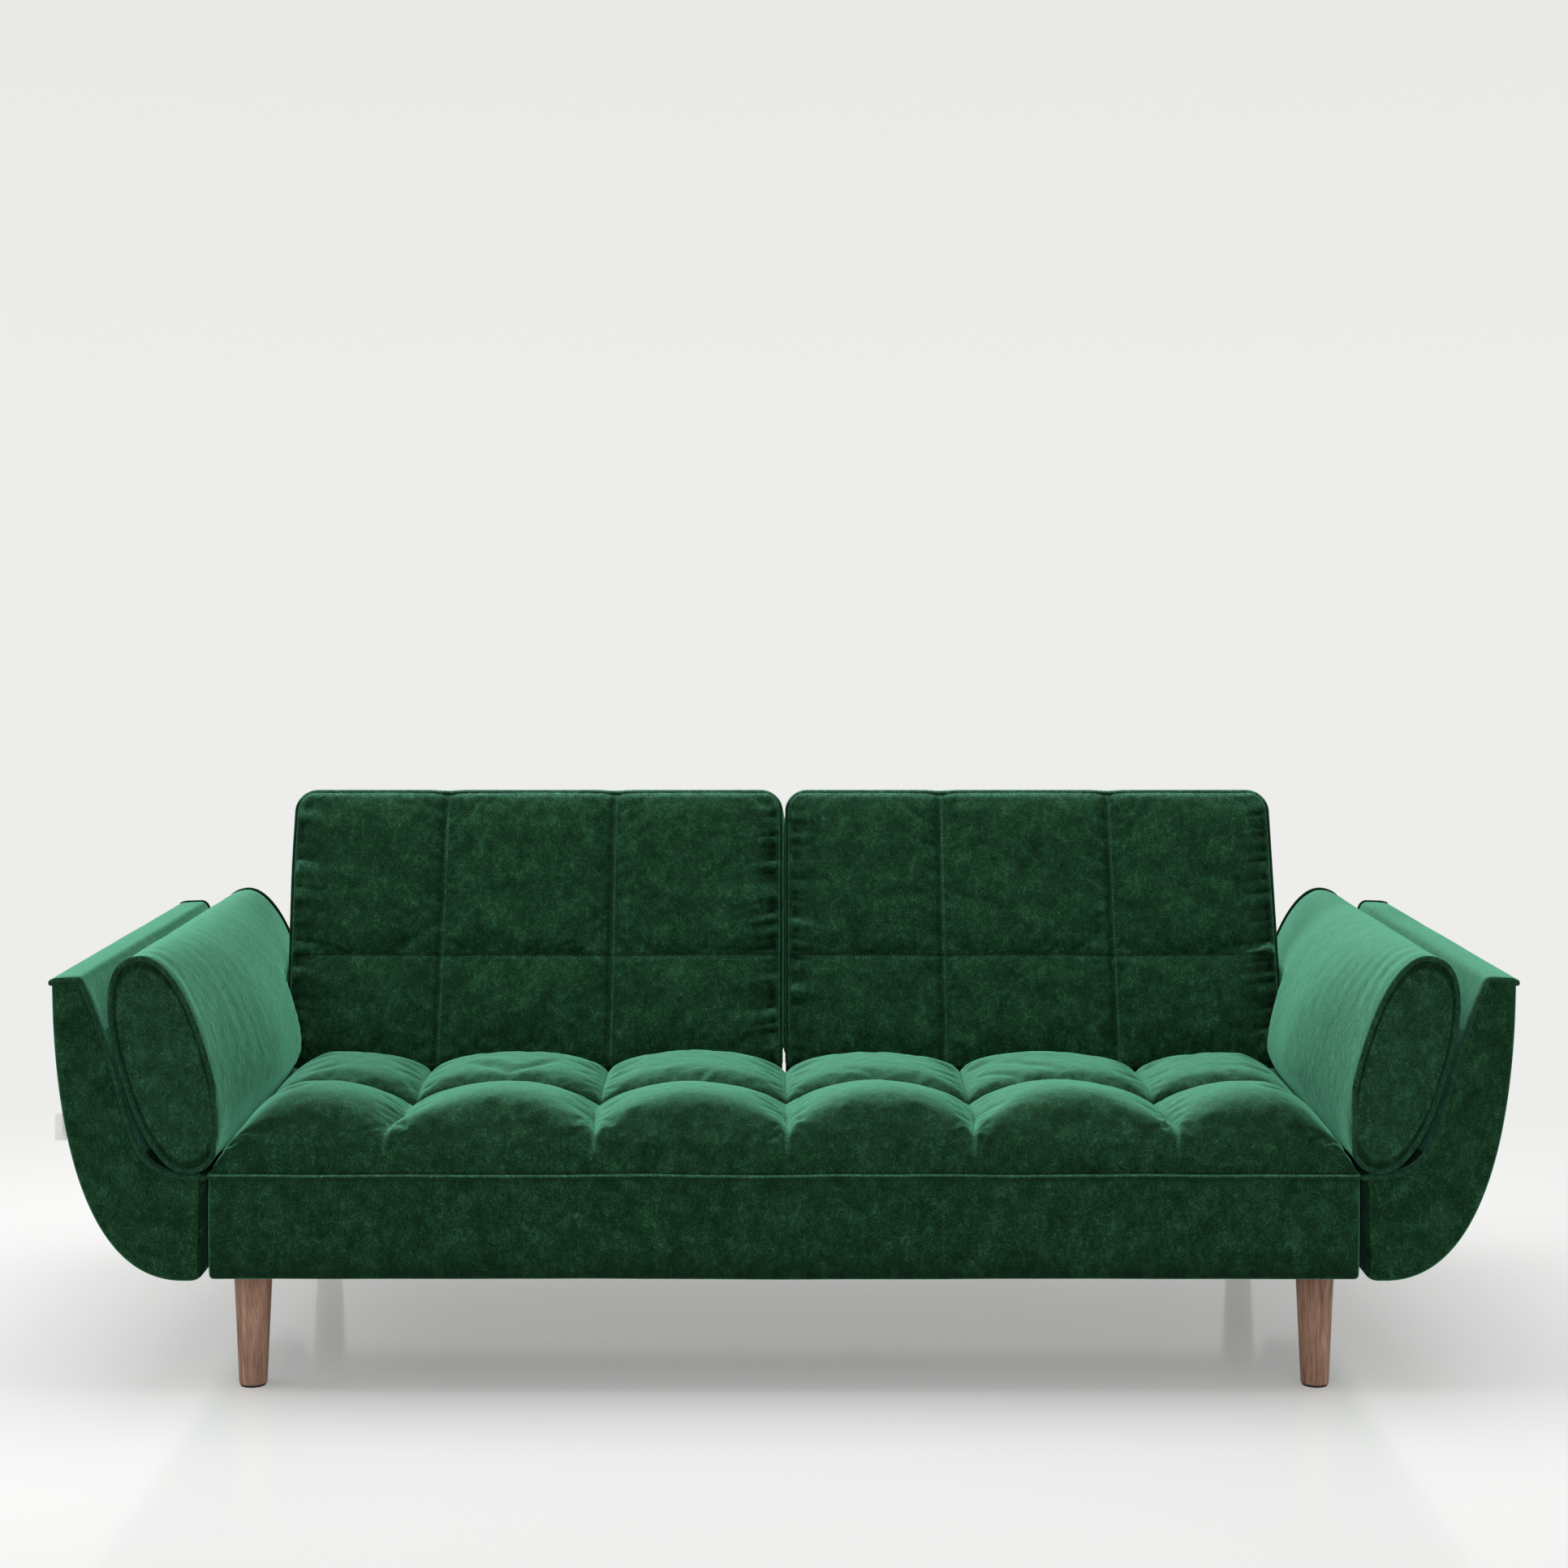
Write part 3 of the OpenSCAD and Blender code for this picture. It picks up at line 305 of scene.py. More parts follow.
def soft_slab(lo, hi, radius, step):
    """A box with rounded edges, as (points, faces), finely divided."""
    lo, hi = np.array(lo, float), np.array(hi, float)
    axes = [spaced(a, b, int(max(2, min(220, (b - a) / step))), radius, 3) for a, b in zip(lo, hi)]
    parts = []
    for a in range(3):
        u, v = (a + 1) % 3, (a + 2) % 3
        for end, flip in ((lo[a], True), (hi[a], False)):
            gu, gv = plane(axes[u], axes[v])
            p = np.zeros((gu.size, 3))
            p[:, a], p[:, u], p[:, v] = end, gu, gv
            parts.append((p, grid_faces(len(axes[v]), len(axes[u]), flip=flip)))
    points, faces = join(parts)
    inner = np.clip(points, lo + radius, hi - radius)
    return weld(inner + unit_rows(points - inner) * radius, faces)[:2]


def weld(points, faces, reach=1e-5):
    """Joins points that lie together. The third value is the place in points of each point that is kept."""
    keys, kept = {}, []
    index = np.zeros(len(points), int)
    for i, key in enumerate(map(tuple, np.round(points / reach).astype(np.int64))):
        if key not in keys:
            keys[key] = len(kept)
            kept.append(i)
        index[i] = keys[key]
    made = []
    for face in faces:
        ring = []
        for i in face:
            if not ring or ring[-1] != index[i]:
                ring.append(int(index[i]))
        if len(ring) > 1 and ring[0] == ring[-1]:
            ring.pop()
        if len(ring) > 2:
            made.append(tuple(ring))
    return points[kept], made, kept


# ---------- Materials ----------


def add_node(tree, kind, sockets=(), **settings):
    """A shader node; sockets are (input, a value or the output it is linked to)."""
    node = tree.nodes.new("ShaderNode" + kind)
    for key, value in settings.items():
        setattr(node, key, value)
    for key, value in sockets:
        if isinstance(value, bpy.types.NodeSocket):
            tree.links.new(value, node.inputs[key])
        else:
            node.inputs[key].default_value = value
    return node


def new_material(name, **sockets):
    """A Principled material; sockets are those of its shader that are the same all over."""
    material = bpy.data.materials.new(name)
    material.use_nodes = True
    shader = material.node_tree.nodes["Principled BSDF"]
    for key, value in sockets.items():
        shader.inputs[key.replace("_", " ")].default_value = value
    return material, material.node_tree, shader


def place(tree, stretch=(1, 1, 1)):
    """The piece's own coordinates, stretched."""
    coords = add_node(tree, "TexCoord").outputs["Object"]
    return add_node(tree, "Mapping", (("Vector", coords), ("Scale", stretch))).outputs["Vector"]


def noise(tree, vector, scale, detail, roughness, distortion=0.0):
    sockets = ("Vector", vector), ("Scale", scale), ("Detail", detail), ("Roughness", roughness)
    return add_node(tree, "TexNoise", (*sockets, ("Distortion", distortion))).outputs["Fac"]


def ramp(tree, factor, *stops):
    """A colour ramp; each stop is (place, colour), or (place, level) for a grey."""
    node = add_node(tree, "ValToRGB", [("Fac", factor)])
    elements = node.color_ramp.elements
    while len(elements) < len(stops):
        elements.new(0.5)
    for element, (position, colour) in zip(elements, stops):
        element.position = position
        element.color = (colour, colour, colour, 1) if isinstance(colour, float) else (*colour, 1)
    return node.outputs["Color"]


def mix(tree, factor, a, b, blend="MIX"):
    """b over a by the factor, or blended with it."""
    full = [v if isinstance(v, bpy.types.NodeSocket) else (*v, 1) for v in (a, b)]
    sockets = (0, factor), (6, full[0]), (7, full[1])
    return add_node(tree, "Mix", sockets, data_type="RGBA", blend_type=blend).outputs[2]


def multiplied(tree, a, b):
    return mix(tree, 1.0, a, b, "MULTIPLY")


def map_range(tree, value, lo, hi, to_lo=0.0, to_hi=1.0, interpolation="LINEAR"):
    sockets = ("Value", value), ("From Min", lo), ("From Max", hi), ("To Min", to_lo), ("To Max", to_hi)
    return add_node(tree, "MapRange", sockets, interpolation_type=interpolation).outputs["Result"]


def bump(tree, shader, height, strength, distance, under=None):
    """Fine relief on a shader, over the relief under it."""
    sockets = [("Strength", strength), ("Distance", distance), ("Height", height)]
    if under is not None:
        sockets.append(("Normal", under))
    normal = add_node(tree, "Bump", sockets).outputs["Normal"]
    tree.links.new(normal, shader.inputs["Normal"])
    return normal


SHEEN_TINT = (0.29, 1.0, 0.64, 1)
# Painted light: the pale colour painted on velvet that faces up, back and to the left
PAINTED_TOP_LIGHT = (0.082, 0.245, 0.163)
# The pale colour of painted highlights
PAINTED_HIGHLIGHT = (0.050, 0.150, 0.098)
# Painted light: surfaces that face this way are painted palest, as if lit from above and the left
PAINTED_LIGHT_WAY = (-0.34, 0.66, 0.67)
PAINTED_LIGHT_STOPS = (
    (0.14, 0.0), (0.28, 0.010), (0.42, 0.07), (0.51, 0.18),
    (0.57, 0.23), (0.63, 0.37), (0.72, 0.62), (0.82, 0.97),
)


def painted_top_light_share(tree):
    """How far each place is painted with the top light, from the way its surface faces."""
    facing = add_node(tree, "TexCoord").outputs["Normal"]
    against = add_node(tree, "VectorMath", ((0, facing), (1, PAINTED_LIGHT_WAY)), operation="DOT_PRODUCT")
    lit_share = ramp(tree, map_range(tree, against.outputs["Value"], -0.25, 1.0), *PAINTED_LIGHT_STOPS)
    upwards = map_range(tree, add_node(tree, "SeparateXYZ", [(0, facing)]).outputs["Z"], -0.15, 0.30)
    return multiplied(tree, lit_share, upwards)


def velvet(name, deep, mid, high, sheen=1.0, top_light_level=1.0):
    """Crushed velvet: cloudy pile marks, short strokes and fine fibres, a green sheen at the edges, and
    painted light.
    """
    material, tree, shader = new_material(
        name, Sheen_Weight=sheen, Sheen_Roughness=0.31, Sheen_Tint=SHEEN_TINT, Specular_IOR_Level=0.03
    )
    where = place(tree)
    clouds = noise(tree, where, 27, 12, 0.72, 0.25)
    strokes = noise(tree, place(tree, (1.6, 1.6, 0.9)), 64, 8, 0.80, 0.6)
    fibres = noise(tree, where, 360, 4, 0.85)
    painted_light = add_node(tree, "Attribute", attribute_name="painted_light").outputs["Fac"]
    colour = ramp(tree, clouds, (0.33, deep), (0.50, mid), (0.67, high))
    # Painted highlight: where the painted light is above 0 the colour is painted pale
    colour = mix(tree, map_range(tree, painted_light, 0.0, 1.0), colour, PAINTED_HIGHLIGHT)
    marks = ramp(tree, strokes, (0.36, 0.58), (0.50, 0.94), (0.64, 1.7))
    specks = ramp(tree, fibres, (0.34, 0.32), (0.50, 0.88), (0.66, 2.5))
    grained = multiplied(tree, marks, specks)
    colour = mix(tree, 0.8, colour, multiplied(tree, colour, grained))
    # Painted light: surfaces that face up, back and to the left are painted paler, standing in for the light
    # on the pile
    top_light = [c * top_light_level for c in PAINTED_TOP_LIGHT]
    top_light = mix(tree, 0.36, top_light, multiplied(tree, top_light, grained))
    colour = mix(tree, painted_top_light_share(tree), colour, top_light)
    # Painted shade: where the painted light is below 0, in seams, folds and gaps, the colour is painted dark
    colour = mix(tree, map_range(tree, painted_light, 0.0, -1.0), colour, [c * 0.3 for c in deep])
    tree.links.new(colour, shader.inputs["Base Color"])
    tree.links.new(ramp(tree, strokes, (0.3, 0.75), (0.7, 0.95)), shader.inputs["Roughness"])
    crushed = bump(tree, shader, noise(tree, where, 40, 8, 0.7, 0.8), 0.45, 0.005)
    bump(tree, shader, fibres, 0.45, 0.0012, crushed)
    return material


def wood(name, dark, pale, scale, gloss, lengthways=(1, 1, 0.06)):
    """Timber with grain along one way, in rings and fine pores."""
    material, tree, shader = new_material(name, Specular_IOR_Level=0.35)
    rings = noise(tree, place(tree, lengthways), scale, 6, 0.55, 1.6)
    pores = noise(tree, place(tree, (1, 1, 0.02)), scale * 14, 3, 0.6)
    colour = ramp(tree, rings, (0.32, dark), (0.5, [(a + b) / 2 for a, b in zip(dark, pale)]), (0.68, pale))
    fine = ramp(tree, pores, (0.34, 0.62), (0.5, 1.0), (0.7, 1.16))
    tree.links.new(multiplied(tree, colour, fine), shader.inputs["Base Color"])
    tree.links.new(ramp(tree, pores, (0.3, gloss + 0.15), (0.7, gloss)), shader.inputs["Roughness"])
    bump(tree, shader, pores, 0.25, 0.0005)
    return material


def metal(name, colour, rough, metallic=1.0):
    """Metal or paint with brushed marks and a few worn, duller places."""
    material, tree, shader = new_material(name, Metallic=metallic)
    brushed = noise(tree, place(tree, (1, 1, 12)), 160, 4, 0.6)
    wear = noise(tree, place(tree), 26, 5, 0.6, 0.4)
    tone = ramp(tree, wear, (0.38, [c * 0.72 for c in colour]), (0.62, colour))
    tree.links.new(tone, shader.inputs["Base Color"])
    tree.links.new(ramp(tree, brushed, (0.3, rough), (0.7, rough + 0.18)), shader.inputs["Roughness"])
    bump(tree, shader, brushed, 0.12, 0.0004)
    return material


def porous(name, dark, pale, scale, depth, rough=0.9):
    """Foam, felt, cloth backing, rubber and moulded plastic: a grained matt solid."""
    material, tree, shader = new_material(name, Specular_IOR_Level=0.25)
    grain = noise(tree, place(tree), scale, 4, 0.7)
    tone = ramp(tree, noise(tree, place(tree), scale / 24, 3, 0.6), (0.35, dark), (0.65, pale))
    fine = ramp(tree, grain, (0.3, 0.75), (0.7, 1.12))
    tree.links.new(multiplied(tree, tone, fine), shader.inputs["Base Color"])
    tree.links.new(ramp(tree, grain, (0.3, rough), (0.7, rough - 0.15)), shader.inputs["Roughness"])
    bump(tree, shader, grain, 0.5, depth)
    return material


VELVET = velvet("velvet", (0.0048, 0.0215, 0.0085), (0.0085, 0.0365, 0.0152), (0.0170, 0.0600, 0.0285))
VELVET_CORD = velvet(
    "velvet_piping", (0.0042, 0.0200, 0.0080), (0.0066, 0.0290, 0.0120), (0.0115, 0.0410, 0.0190),
    sheen=0.4, top_light_level=0.2,
)
# Darker copies of the velvet with less sheen: painted shade for places in a gap where little light comes, the
# second deeper in one
VELVET_DIM = velvet(
    "velvet_dim", (0.0040, 0.0185, 0.0073), (0.0072, 0.0310, 0.0129), (0.0145, 0.0510, 0.0242),
    sheen=0.5, top_light_level=0.5,
)
VELVET_SHADE = velvet(
    "velvet_shade", (0.0023, 0.0107, 0.0042), (0.0040, 0.0172, 0.0071), (0.0077, 0.0270, 0.0130),
    sheen=0.12, top_light_level=0.05,
)
DUST = porous("dust_cloth", (0.008, 0.008, 0.009), (0.017, 0.017, 0.018), 900, 0.0004)
THREAD = porous("thread", (0.026, 0.095, 0.056), (0.040, 0.130, 0.080), 2600, 0.0002)
LABEL = porous("label_cloth", (0.88, 0.88, 0.87), (0.93, 0.93, 0.92), 1400, 0.0002)
SLOT_MATERIALS = {
    "velvet": VELVET,
    "velvet_piping": VELVET_CORD,
    "walnut_leg": wood("walnut_leg", (0.150, 0.068, 0.042), (0.445, 0.258, 0.172), 46, 0.42),
    "frame_timber": wood("frame_timber", (0.36, 0.22, 0.11), (0.62, 0.44, 0.25), 18, 0.6, (0.08, 1, 1)),
    "spring_steel": metal("spring_steel", (0.30, 0.31, 0.33), 0.32),
    "zinc_steel": metal("zinc_steel", (0.58, 0.60, 0.62), 0.28),
    "hinge_steel": metal("hinge_steel", (0.022, 0.023, 0.025), 0.38, 0.85),
    "felt": porous("felt", (0.075, 0.075, 0.08), (0.13, 0.13, 0.135), 420, 0.0008),
    "foam": porous("foam", (0.66, 0.58, 0.34), (0.80, 0.73, 0.50), 520, 0.0008),
    "dust_cloth": DUST,
    "rubber": porous("rubber", (0.012, 0.012, 0.013), (0.024, 0.024, 0.025), 300, 0.0003, 0.75),
    "glide_plastic": porous("glide_plastic", (0.018, 0.017, 0.016), (0.032, 0.030, 0.028), 240, 0.0002, 0.6),
}
for node in frame["nodes"].values():
    for slot in node.material_slots:
        slot.material = SLOT_MATERIALS[slot.material.name.split(".")[0]]

# ---------- Cloth ----------

CLOTH_FRAMES = 16
CLOTH_SETTINGS = {
    "quality": 5, "mass": 0.3, "tension_stiffness": 12, "compression_stiffness": 12, "shear_stiffness": 5,
    "bending_stiffness": 1.2, "air_damping": 3, "pin_stiffness": 4, "use_pressure": True,
}
SOFT = []


def soften(piece, held, pressure, slack, cap, loose=None):
    """Marks a filled cover for the cloth simulation: held and loose are shares from 0 to 1 at its points."""
    SOFT.append((piece, held, pressure, slack, cap, loose))


def shares_group(piece, name, shares):
    """A vertex group with its shares in steps of a tenth."""
    group = piece.vertex_groups.new(name=name)
    tenths = np.round(shares * 10).astype(int)
    for k in range(1, 11):
        chosen = np.flatnonzero(tenths == k)
        if len(chosen):
            group.add(chosen.tolist(), k / 10, "REPLACE")
    return name


def settle():
    """Fills the marked covers with Cloth's pressure, and keeps the result in their meshes."""
    scene = bpy.context.scene
    for piece, held, pressure, slack, cap, loose in SOFT:
        cloth = piece.modifiers.new("cloth", "CLOTH")
        settings = cloth.settings
        for key, value in CLOTH_SETTINGS.items():
            setattr(settings, key, value)
        settings.vertex_group_mass = shares_group(piece, "held", held)
        settings.uniform_pressure_force = pressure
        settings.effector_weights.gravity = 0
        if loose is None:
            settings.shrink_min = -slack
        else:
            settings.vertex_group_shrink = shares_group(piece, "loose", loose)
            settings.shrink_min, settings.shrink_max = -slack / 4, -slack
        cloth.point_cache.frame_start, cloth.point_cache.frame_end = 1, CLOTH_FRAMES
    for frame_number in range(1, CLOTH_FRAMES + 1):
        scene.frame_set(frame_number)
    graph = bpy.context.evaluated_depsgraph_get()
    for piece, held, pressure, slack, cap, loose in SOFT:
        was, now = np.zeros((2, len(piece.data.vertices) * 3))
        piece.data.vertices.foreach_get("co", was)
        piece.evaluated_get(graph).data.vertices.foreach_get("co", now)
        was, move = was.reshape(-1, 3), np.nan_to_num((now - was).reshape(-1, 3))
        reach = np.linalg.norm(move, axis=1, keepdims=True)
        move = move * (cap * np.tanh(reach / cap) / np.maximum(reach, 1e-9))
        piece.modifiers.clear()
        piece.vertex_groups.clear()
        piece.data.vertices.foreach_set("co", (was + move).ravel())
        piece.data.update()
    scene.frame_set(1)


# ---------- Seat ----------

PUFF_COLS, PUFF_ROWS = 6, 2
# The filled topper stands a little past the cushion's plain solid
TOPPER_OUT = 0.0018
SEAT_X = PILLOW_HI.x + TOPPER_OUT
SEAT_Y0, SEAT_Y1 = PILLOW_LO.y - TOPPER_OUT, PILLOW_HI.y + TOPPER_OUT
SEAT_MID = (SEAT_Y0 + SEAT_Y1) / 2
CELL_X, CELL_Y = SEAT_X / PUFF_COLS, (SEAT_Y1 - SEAT_Y0) / 2 / PUFF_ROWS
PLEAT_XS = (np.arange(1, PUFF_COLS) * 2 / PUFF_COLS - 1) * SEAT_X
CROWN = PILLOW_HI.z - SEAM_Z - 0.0145
SKIRT = 0.006
# Heights, as shares of the crown, and the lengths of the rolled edges
FRONT_VALLEY, REAR_VALLEY, PLEAT_RISE = 0.61, 0.675, 0.21
FRONT_ROLL, REAR_ROLL, END_ROLL = 0.125, 0.060, 0.112
FRONT_ROUND, REAR_ROUND, DEEP_ROUND = 1.0, 0.62, 0.38
# How far each pleat leans sideways at its front foot, and stands off its even place
LEANS = (-0.018, 0.006, 0.003, -0.006, 0.010)
SHIFTS = (-0.014, -0.006, 0.003, 0.006, 0.012)
# Creases pressed into the puffs: from, to, width, depth
CREASES = (
    (-0.530, -0.075, -0.455, -0.155, 0.012, 0.0045),
    (-0.455, -0.155, -0.385, -0.060, 0.011, 0.0050),
    (-0.520, -0.045, -0.440, -0.125, 0.016, -0.0030),
    (0.370, -0.060, 0.470, -0.150, 0.012, 0.0040),
    (0.330, -0.110, 0.400, -0.165, 0.010, 0.0030),
    (-0.800, -0.150, -0.740, -0.095, 0.010, 0.0030),
    (-0.655, -0.100, -0.615, -0.160, 0.009, 0.0030),
    (0.095, -0.130, 0.165, -0.165, 0.010, 0.0025),
)


def puff(u, power):
    """Roundness across a puff: 1 in the middle, 0 at a pleat."""
    return np.power(np.clip(1 - u * u, 0, 1), power)


def in_cell(s, n):
    """Place in one of n cells, -1 to 1, its number, and whether it lies outside the outermost crests."""
    k = np.clip(np.floor(s * n), 0, n - 1)
    return 2 * (s * n - k) - 1, k.astype(np.int64), (s < 0.5 / n) | (s > 1 - 0.5 / n)


def segment_distance(x, y, x0, y0, x1, y1):
    """Distance from a segment, and the place along it from 0 to 1."""
    dx, dy = x1 - x0, y1 - y0
    along = ((x - x0) * dx + (y - y0) * dy) / (dx * dx + dy * dy)
    held = np.clip(along, 0, 1)
    return np.hypot(x - x0 - held * dx, y - y0 - held * dy), along


def seam_wave(x, y):
    """The slight waviness of the seat seam."""
    return 0.0027 * noise_line(x + 0.31 * y + 5, 0.16, 11, 2) + 0.0010 * noise_line(x - y + 9, 0.05, 12)


def seat_cells(x, y):
    """The cells of the puffs across the seat and from front to rear."""
    foot = smooth((SEAT_Y0 + 0.115 - y) / 0.085)
    warp = sum((foot * lean + shift) * bell(x - c, 0.10) for lean, shift, c in zip(LEANS, SHIFTS, PLEAT_XS))
    across = np.clip((x - warp + SEAT_X) / (2 * SEAT_X), 0, 1)
    return in_cell(across, PUFF_COLS), in_cell((y - SEAT_Y0) / (SEAT_Y1 - SEAT_Y0), PUFF_ROWS)


def seat_height(x, y):
    """Height of the topper above its base."""
    (u, column, side), (v, row, outer) = seat_cells(x, y)
    bu = np.where(side, 1.0, puff(u, np.where(row > 0, REAR_ROUND, FRONT_ROUND)))
    bv = np.where(outer, 1.0, puff(v, DEEP_ROUND))
    valley = FRONT_VALLEY + (REAR_VALLEY - FRONT_VALLEY) * smooth((y - SEAT_MID + 0.03) / 0.12)
    # A pleat starts where the rolled front passes its own height
    front = np.maximum(edge_roll(y - SEAT_Y0, FRONT_ROLL, 2.1, 0.5), 1e-3)
    level = np.power(front**-6.0 + valley**-6.0, -1 / 6)
    fade = np.clip(1 - (level / front - valley) / (1 - valley), 0, 1)
    across = 1 - fade * (1 - bu)
    low = valley - PLEAT_RISE
    body = low + PLEAT_RISE * across + PLEAT_RISE * bv + (1 - low - 2 * PLEAT_RISE) * across * bv
    end = np.maximum(edge_roll(SEAT_X - np.abs(x), END_ROLL, 1.6, 0.85), 1e-3)
    edge = np.power(front**-3.0 + end**-3.0 - 1, -1 / 3) * edge_roll(SEAT_Y1 - y, REAR_ROLL, 2, 0.5)
    inside = np.minimum(edge, 1)
    # Each puff is filled a little differently
    fill = 1 + 0.018 * lattice(column, row, column * 0, 5) * bu * bv
    fill = fill - 0.055 * smooth((y - SEAT_MID) / 0.10)
    full = SKIRT + (CROWN - SKIRT) * body * edge * fill
    # Each pleat ends at the front in a narrow crease
    crease = smooth((y - SEAT_Y0 - 0.003) / 0.03) * smooth((SEAT_Y0 + 0.145 - y) / 0.06) * ~side
    full = full - 0.0085 * crease * np.exp(-(1 - np.abs(u)) * CELL_X / 0.0055) * inside
    # The two rows press together along a narrow fold
    full = full - 0.012 * np.exp(-np.abs(y - SEAT_MID) / 0.0045) * inside
    flat = columns(x, y, 0.0)
    full = full + inside * 0.0022 * value_noise(flat, 0.11, 21, 2)
    full = full + inside * bu * 0.0007 * value_noise(flat, 0.022, 23, 2)
    for *ends, width, depth in CREASES:
        d, along = segment_distance(x, y, *ends)
        taper = np.sqrt(np.clip(np.sin(np.pi * np.clip(along, 0, 1)), 0, 1))
        full = full - depth * bell(d, width) * taper * inside
    return full


def make_topper():
    base = SEAM_Z + 0.0005
    xs = spaced(-SEAT_X, SEAT_X, 420, 0.03, 3, PLEAT_XS, 0.012, 1.6)
    ys = spaced(SEAT_Y0, SEAT_Y1, 130, 0.02, 6, [SEAT_MID], 0.012, 1.2)
    x, y = plane(xs, ys)
    rise, wave = seat_height(x, y), seam_wave(x, y)
    z = base + rise + wave * np.minimum(np.exp(-(rise - SKIRT) / 0.03), 1)
    foot = columns(x, y, base + wave)[rim_of(len(ys), len(xs))]
    points, faces = closed_below(columns(x, y, z), len(ys), len(xs), foot, [0, SEAT_MID, base])
    (u, _, side), (v, _, outer) = seat_cells(x, y)
    from_pleat, from_fold = (1 - np.abs(u)) * CELL_X, (1 - np.abs(v)) * CELL_Y
    # The front creases get a painted highlight, and the fold between the rows and the low front get painted
    # shade
    streak = smooth((y - SEAT_Y0) / 0.012) * smooth((SEAT_Y0 + 0.10 - y) / 0.05) * ~side
    painted_light, held = np.zeros(len(points)), np.ones(len(points))
    painted_light[:len(x)] = 0.55 * streak * bell(from_pleat, 0.0050)
    painted_light[:len(x)] -= 0.9 * bell(y - SEAT_MID, 0.006) + 0.30 * bell(y - SEAT_Y0 - 0.030, 0.020)
    made = add_velvet("seat_topper", points, faces, "base", ["seat_cushion"], painted_light)
    to_pleat = np.minimum(np.where(side, 1, from_pleat), np.where(outer, 1, from_fold))
    to_edge = np.minimum(SEAT_X - np.abs(x), np.minimum(y - SEAT_Y0, SEAT_Y1 - y))
    held[:len(x)] = np.clip(np.maximum(bell(to_pleat, 0.006), smooth((0.014 - to_edge) / 0.010)), 0, 1)
    soften(made, held, 1.0, 0.022, 0.0065)


def make_seat_piping():
    loop = rounded_loop(
        PIPING_LO.x + CORD_R, PIPING_HI.x - CORD_R, PIPING_LO.y + CORD_R, PIPING_HI.y - CORD_R, 0.005, 0.008
    )
    z = SEAM_Z + seam_wave(loop[:, 0], loop[:, 1])
    points, faces = tube(columns(*loop.T, z), CORD_R, closed=True)
    # Painted light: the cord's upper half gets a painted highlight and its lower half painted shade
    rise = (points[:, 2] - np.repeat(z, CORD_SIDES)) / CORD_R
    painted_light = 0.75 * np.clip(rise, 0, 1) - 0.6 * np.clip(-rise, 0, 1)
    add_cord("seat_welt", points, faces, "base", "seat_piping", painted_light)


BORDER_T = BORDER_HI.y - BORDER_LO.y
BORDER_TOP = SEAM_Z - 0.0015
BORDER_ROUND = 0.007


def band(path, top, bottom, seed, swell=0.0012):
    """A padded border along a plan path, with a rounded foot and a turned-in top, as (points, faces)."""
    tangent = unit_rows(np.gradient(path, axis=0))
    outward = columns(tangent[:, 1], -tangent[:, 0])
    top = np.broadcast_to(np.asarray(top, float), (len(path),))
    turn = np.pi / 2 * np.arange(7) / 6
    foot = zip(BORDER_ROUND * (1 - np.sin(turn)), BORDER_ROUND * (1 - np.cos(turn)))
    # Each ring: how far in it lies, its height, and its place up the face from 0 to 1
    foot = (BORDER_T, BORDER_ROUND), (BORDER_T * 0.75, 0.0), *foot
    rings = [(inset, bottom + h, 0.0) for inset, h in foot]
    for t in np.linspace(0, 1, 26)[1:]:
        rings.append((0.0, bottom + BORDER_ROUND + (top - bottom - BORDER_ROUND) * t, t))
    rings += [(BORDER_T * 0.5, top, 1.0), (BORDER_T, top - 0.001, 1.0)]
    points = []
    for inset, z, t in rings:
        flat = path - outward * inset
        where = columns(*flat.T, z)
        puffed = swell * math.sin(math.pi * t) ** 0.6 if 0 < t < 1 else 0.0
        wander = 0.0011 * value_noise(where, 0.13, seed, 3) * (inset == 0.0)
        drop = 0.0013 * value_noise(where * (1, 1, 0), 0.2, seed + 3, 2) * (1 - t)
        points.append(columns(*(flat + outward * (puffed + wander)[:, None]).T, z + drop))
    return np.concatenate(points), grid_faces(len(rings), len(path))


def end_path(y, r, s, n):
    """Plan path along an end of the box, the front one for s = -1, round both its corners."""
    x, turn = BORDER_HI.x, np.radians(np.linspace(0, 90, 9))
    corner = columns(s * (x - r + r * np.cos(turn)), y + s * (r * np.sin(turn) - r))
    across = columns(np.linspace(s * (x - r), s * (r - x), n)[1:-1], y)
    return np.concatenate([corner, across, corner[::-1] * (-1, 1)])


